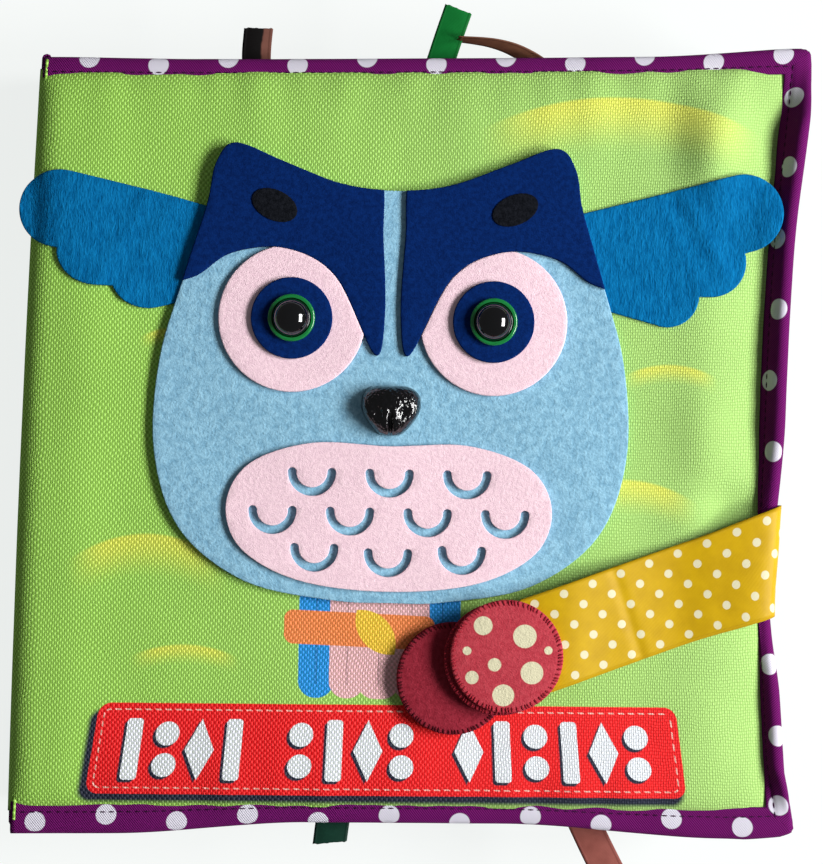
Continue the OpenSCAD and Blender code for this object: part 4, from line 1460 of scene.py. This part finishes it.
@dataclass
class Studio:
    """Camera, lamps, world and pale floor."""

    centre: Point = (-0.55, 2.3)
    distance: float = 640.0
    frame_w: float = 214.0
    level: float = 36.0
    roll: float = 1.2

    def camera(self) -> None:
        """Set the camera straight over the book."""
        data = bpy.data.cameras.new("camera")
        data.sensor_fit = "HORIZONTAL"
        data.sensor_width = 36.0
        data.lens = 36.0 * (self.distance - self.level) / self.frame_w
        camera = bpy.data.objects.new("camera", data)
        camera.location = (self.centre[0] * MM, self.centre[1] * MM, self.distance * MM)
        camera.rotation_euler = (0.0, 0.0, math.radians(self.roll))
        bpy.context.scene.collection.objects.link(camera)
        bpy.context.scene.camera = camera

    def floor(self) -> None:
        """Lay the pale floor, which looks nearly white and keeps a faint shadow of the book."""
        bm = bmesh.new()
        bmesh.ops.create_grid(bm, x_segments=1, y_segments=1, size=4.0)
        mesh = bpy.data.meshes.new("floor")
        bm.to_mesh(mesh)
        bm.free()
        floor = bpy.data.objects.new("floor", mesh)
        floor.location = (0, 0, -0.0002)
        bpy.context.scene.collection.objects.link(floor)
        material, shades, shader = surface("pale_floor")
        seen = shades.add("ShaderNodeLightPath").outputs["Is Camera Ray"]
        shader.inputs["Roughness"].default_value = 0.9
        shader.inputs["Specular IOR Level"].default_value = 0.0
        shader.inputs["Emission Color"].default_value = (0.97, 1.0, 0.985, 1.0)
        shades.feed(shader.inputs["Base Color"], shades.mix(seen, (0.55, 0.56, 0.56, 1.0), (0.14, 0.14, 0.14, 1.0)))
        shades.feed(shader.inputs["Emission Strength"], shades.math("MULTIPLY", seen, 0.83))
        mesh.materials.append(material)

    def light(self) -> None:
        """Hang the lamps and set the world."""
        aim = Vector((0, 0, 0.03))
        for number, y in enumerate((-0.24, 0.24)):
            add_lamp(f"window_{number}", Vector((1.1, y, 0.78)), (0.4, 0.42), 17.8, aim)
        add_lamp("sky", Vector((-0.2, 0.2, 1.3)), (1.2, 1.2), 0.8, aim, mirrored=False)
        world = bpy.data.worlds.new("studio")
        bpy.context.scene.world = world
        world.use_nodes = True
        back = world.node_tree.nodes["Background"]
        back.inputs["Color"].default_value = (0.96, 0.98, 1.0, 1.0)
        back.inputs["Strength"].default_value = 0.095

    def build(self) -> None:
        """Make the whole studio."""
        self.camera()
        self.floor()
        self.light()
        bpy.context.scene.view_settings.view_transform = "Standard"


@dataclass
class FrontCover:
    """The front cover: pad, lining, tape, felt owl, eyes, beak, strap and discs."""

    pad: Pad = field(init=False)
    tape: FrontBinding = field(init=False)

    def build(self) -> None:
        """Make every piece of the cover."""
        low, high = node_box("front_binding")
        wadding_low, wadding_high = node_box("front_cover_wadding")
        skin = node_box("front_cover_cloth")[1].z - wadding_high.z
        plan = SoftPlan(high.x + 0.6, high.y)
        self.tape = FrontBinding(plan, (low.z + high.z) / 2, 1.0, -high.x + 0.2, seam=5.6, seed=1.0,
                                 columns=420, rows=28)
        ridges = ((78, 76, 8, 15, 3.8), (79, 36, 9, 15, 1.1), (80, 2, 8.5, 14, 1.5), (77, -72, 9, 14, 0.7),
                  (87, -17, 8, 6, -2.6), (64, -22, 12, 6, -1.0), (-86, 0, 9, 90, 0.8), (20, 84, 26, 7, 0.8),
                  (-45, 82, 20, 8, 0.7))
        self.pad = Pad(self.tape, wadding_high.z + skin, wadding_low.z - skin, Body.FRONT, ridges=ridges)
        self.pad.build("front_pad", "front_print", "green_cloth", ["front_cover_cloth", "front_cover_wadding"])
        self.pad.lining("front_lining_soft", "front_pad", "front_cover_lining")
        self.tape.build("front_tape", Body.FRONT, "front_binding")
        self.tape.stitches("front_stitches", Body.FRONT)
        self.owl()
        self.eyes()
        self.fastening()

    def lift_wing(self, x: float, y: float) -> float:
        """How far a wing rises over the standing tape, or sinks over the rolled spine edge."""
        crease = math.exp(-((abs(x) - 74 + 0.55 * (y - 55)) / 1.5) ** 2)
        second = math.exp(-((abs(x) - 66 + 0.5 * (y - 55)) / 1.2) ** 2)
        over = 2.0 * smooth(80, 92, x)
        droop = -2.2 * smooth(self.pad.roll_x + 1, self.pad.roll_x - 7, x) ** 2
        return over + droop + 0.5 * crease + 0.3 * second

    def owl(self) -> None:
        """Lay the felt pieces of the owl."""
        for side, reach in (("left", 5.5), ("right", 0.0)):
            FeltLayer(f"owl_wing_{side}", "teal", "teal_felt", self.pad, step=1.6, shape=self.lift_wing,
                      reach=reach).build()
            FeltLayer(f"owl_brow_{side}", "navy", "navy_felt", self.pad).build()
            FeltLayer(f"eye_patch_{side}", "pink", "pink_felt", self.pad).build()
            FeltLayer(f"eye_disc_{side}", "navy", "navy_felt", self.pad).build()
            FeltLayer(f"tuft_spot_{side}", "black", "black_felt", self.pad, rim=0.1).build()
        FeltLayer("owl_body_felt", "blue", "blue_felt", self.pad).build()
        FeltLayer("owl_tummy_felt", "pink", "pink_felt", self.pad).build()

    def eyes(self) -> None:
        """Dress the plastic eyes and shape the beak."""
        dressed = {"eye_rim": "rim", "eye_dome": "dome", "eye_washer": "washer"}
        for part, finish in dressed.items():
            for side in ("left", "right"):
                dress(f"{part}_{side}", finish)
        dress("beak_washer", "washer")
        Beak().build()

    def fastening(self) -> None:
        """Make the strap, its discs and the padded disc that it presses on."""
        Strap(self.pad, self.tape).build()
        FeltDisc("strap_disc_front", "spotted_red", "red_felt").build()
        # Painted shade: the back strap disc is moved out to the lower left so that its dark red edge shows as the
        # stack's shaded side, and the cover disc's darker felt stands partly for its shadow.
        FeltDisc("strap_disc_back", "dark_red", "dark_red_felt", crown=0.0, shift=(-1.6, -0.8)).build()
        FeltDisc("cover_disc", "dark_red", "dark_red_felt", crown=0.6, stitch="dark_thread").build()
        dress("strap_hook_patch", "hook")
        dress("cover_loop_patch", "hook")


def dress(node: str, finish: str) -> None:
    """Give a solid of the frame its finish."""
    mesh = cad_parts[node].data
    mesh.materials.clear()
    mesh.materials.append(PALETTE.get(finish))


@dataclass
class BackCover:
    """The back cover: pad, lining and tape."""

    def build(self) -> None:
        """Make every piece of the cover."""
        low, high = node_box("back_binding")
        skin_low, skin_high = node_box("back_cover_cloth")
        lining_high = node_box("back_cover_lining")[1].z
        plan = SoftPlan(high.x, high.y)
        tape = Binding(plan, (low.z + high.z) / 2, -1.0, -high.x + 0.2, seed=11.0, columns=219)
        pad = Pad(tape, skin_low.z + 0.5, lining_high, Body.BACK, slack=0.2, gather=0.3, seed=13.0, columns=160,
                  rows=90)
        pad.build("back_pad", "back_print", "green_cloth", ["back_cover_cloth", "back_cover_wadding"])
        pad.lining("back_lining_soft", "back_pad", "back_cover_lining")
        tape.build("back_tape", Body.BACK, "back_binding")
        tape.stitches("back_stitches", Body.BACK)


@dataclass
class Leaves:
    """The block of padded leaves, each bound in tape, with the ribbons sewn to the top one."""

    count: int = 4

    def build(self) -> None:
        """Make the leaves, their tapes and the ribbons."""
        for number in range(1, self.count + 1):
            low, high = node_box(f"page_binding_{number}")
            mid = (low.z + high.z) / 2
            thick = 4.9
            plan = SoftPlan(high.x, high.y, left_bow=0.0, foot_left=(-1.0, -1.0), head_left=(1.0, -1.0))
            tape = Binding(plan, mid, 1.0, low.x + 1.5, edge=3.4, seed=20.0 + number)
            pad = Pad(tape, mid + thick / 2, mid - thick / 2, Body.PAGES, roll_x=low.x + 2.5, roll_reach=2.2,
                      slack=0.0, gather=0.0, seed=30.0 + number, columns=90, rows=60)
            pad.build(f"leaf_{number}", "leaf", "leaf_cloth", ["page_block"])
            tape.build(f"leaf_tape_{number}", Body.PAGES, f"page_binding_{number}")
        for tab in self.ribbons():
            tab.build()

    def ribbons(self) -> list[RibbonTab]:
        """The five ribbons that stick out of the book."""
        flat = Vector((1, 0, 0))

        def middle(node: str) -> tuple[Vector, Vector, float]:
            """Low and high corners of a ribbon's solid, and the middle of it across the book."""
            low, high = node_box(node)
            return low, high, (low.x + high.x) / 2

        low, high, x = middle("ribbon_head_brown")
        brown = Path([Vector((x, low.y, low.z + 0.2)), Vector((x - 0.2, low.y + 8, low.z + 0.2)),
                      Vector((x + 0.3, high.y + 0.5, high.z - 0.2))])
        tabs = [RibbonTab("tab_head_brown", "ribbon_head_brown", "black_sided_brown", "brown_ribbon", brown, [flat, flat], 7.6)]
        low, high, x = middle("ribbon_head_green")
        green = Path([Vector((low.x + 3.6, low.y + 1, low.z + 0.2)), Vector((low.x + 5.6, low.y + 7, low.z + 0.2)),
                      Vector((low.x + 7.8, low.y + 14, low.z + 1.2)), Vector((high.x - 3.2, high.y - 1, high.z - 0.4))])
        lean = Vector((math.cos(math.radians(-20)), math.sin(math.radians(-20)), 0))
        tabs.append(RibbonTab("tab_head_green", "ribbon_head_green", "green", "bright_green_ribbon", green,
                              [lean, lean], 7.4))
        low, high, x = middle("ribbon_head_bronze")
        bronze = Path([Vector((high.x - 2.6, low.y + 1, low.z + 0.4)), Vector((high.x - 5.4, low.y + 6.5, low.z + 0.6)),
                       Vector((high.x - 12, low.y + 10.5, low.z + 2.4)), Vector((high.x - 19, low.y + 12.6, low.z + 3)),
                       Vector((low.x - 4, low.y + 13.5, low.z + 2.6))])
        tabs.append(RibbonTab("tab_head_bronze", "ribbon_head_bronze", "bronze", "brown_ribbon", bronze,
                              [Vector((0.94, 0.34, 0.1)), Vector((0.6, 0.3, 0.7)), Vector((0.1, 0.1, 1))], 5.2))
        low, high, x = middle("ribbon_foot_green")
        foot = Path([Vector((x + 0.8, high.y, low.z + 0.2)), Vector((x, high.y - 6, low.z + 0.2)),
                     Vector((x - 0.8, low.y, high.z - 0.3))])
        tabs.append(RibbonTab("tab_foot_green", "ribbon_foot_green", "dark_green", "dark_green_ribbon", foot,
                              [flat, Vector((1, 0.1, 0))], 9.0))
        low, high, x = middle("ribbon_foot_brown")
        last = Path([Vector((low.x + 3.8, high.y - 1.5, high.z - 0.3)), Vector((low.x + 7.5, high.y - 9, high.z - 0.4)),
                     Vector((low.x + 11, high.y - 16, high.z - 0.7)), Vector((high.x - 3.8, low.y + 1.5, low.z + 0.4))])
        lean = Vector((math.cos(math.radians(29)), math.sin(math.radians(29)), 0))
        tabs.append(RibbonTab("tab_foot_brown", "ribbon_foot_brown", "brown", "brown_ribbon", last, [lean, lean], 8.6))
        return tabs


def main() -> None:
    """Build the book and its studio."""
    logging.basicConfig(level=logging.INFO, format="%(name)s: %(message)s")
    Studio().build()
    front = FrontCover()
    front.build()
    BackCover().build()
    Leaves().build()
    Spine(front.tape.plan).build()


if __name__ == "__main__":
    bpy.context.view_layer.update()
    main()
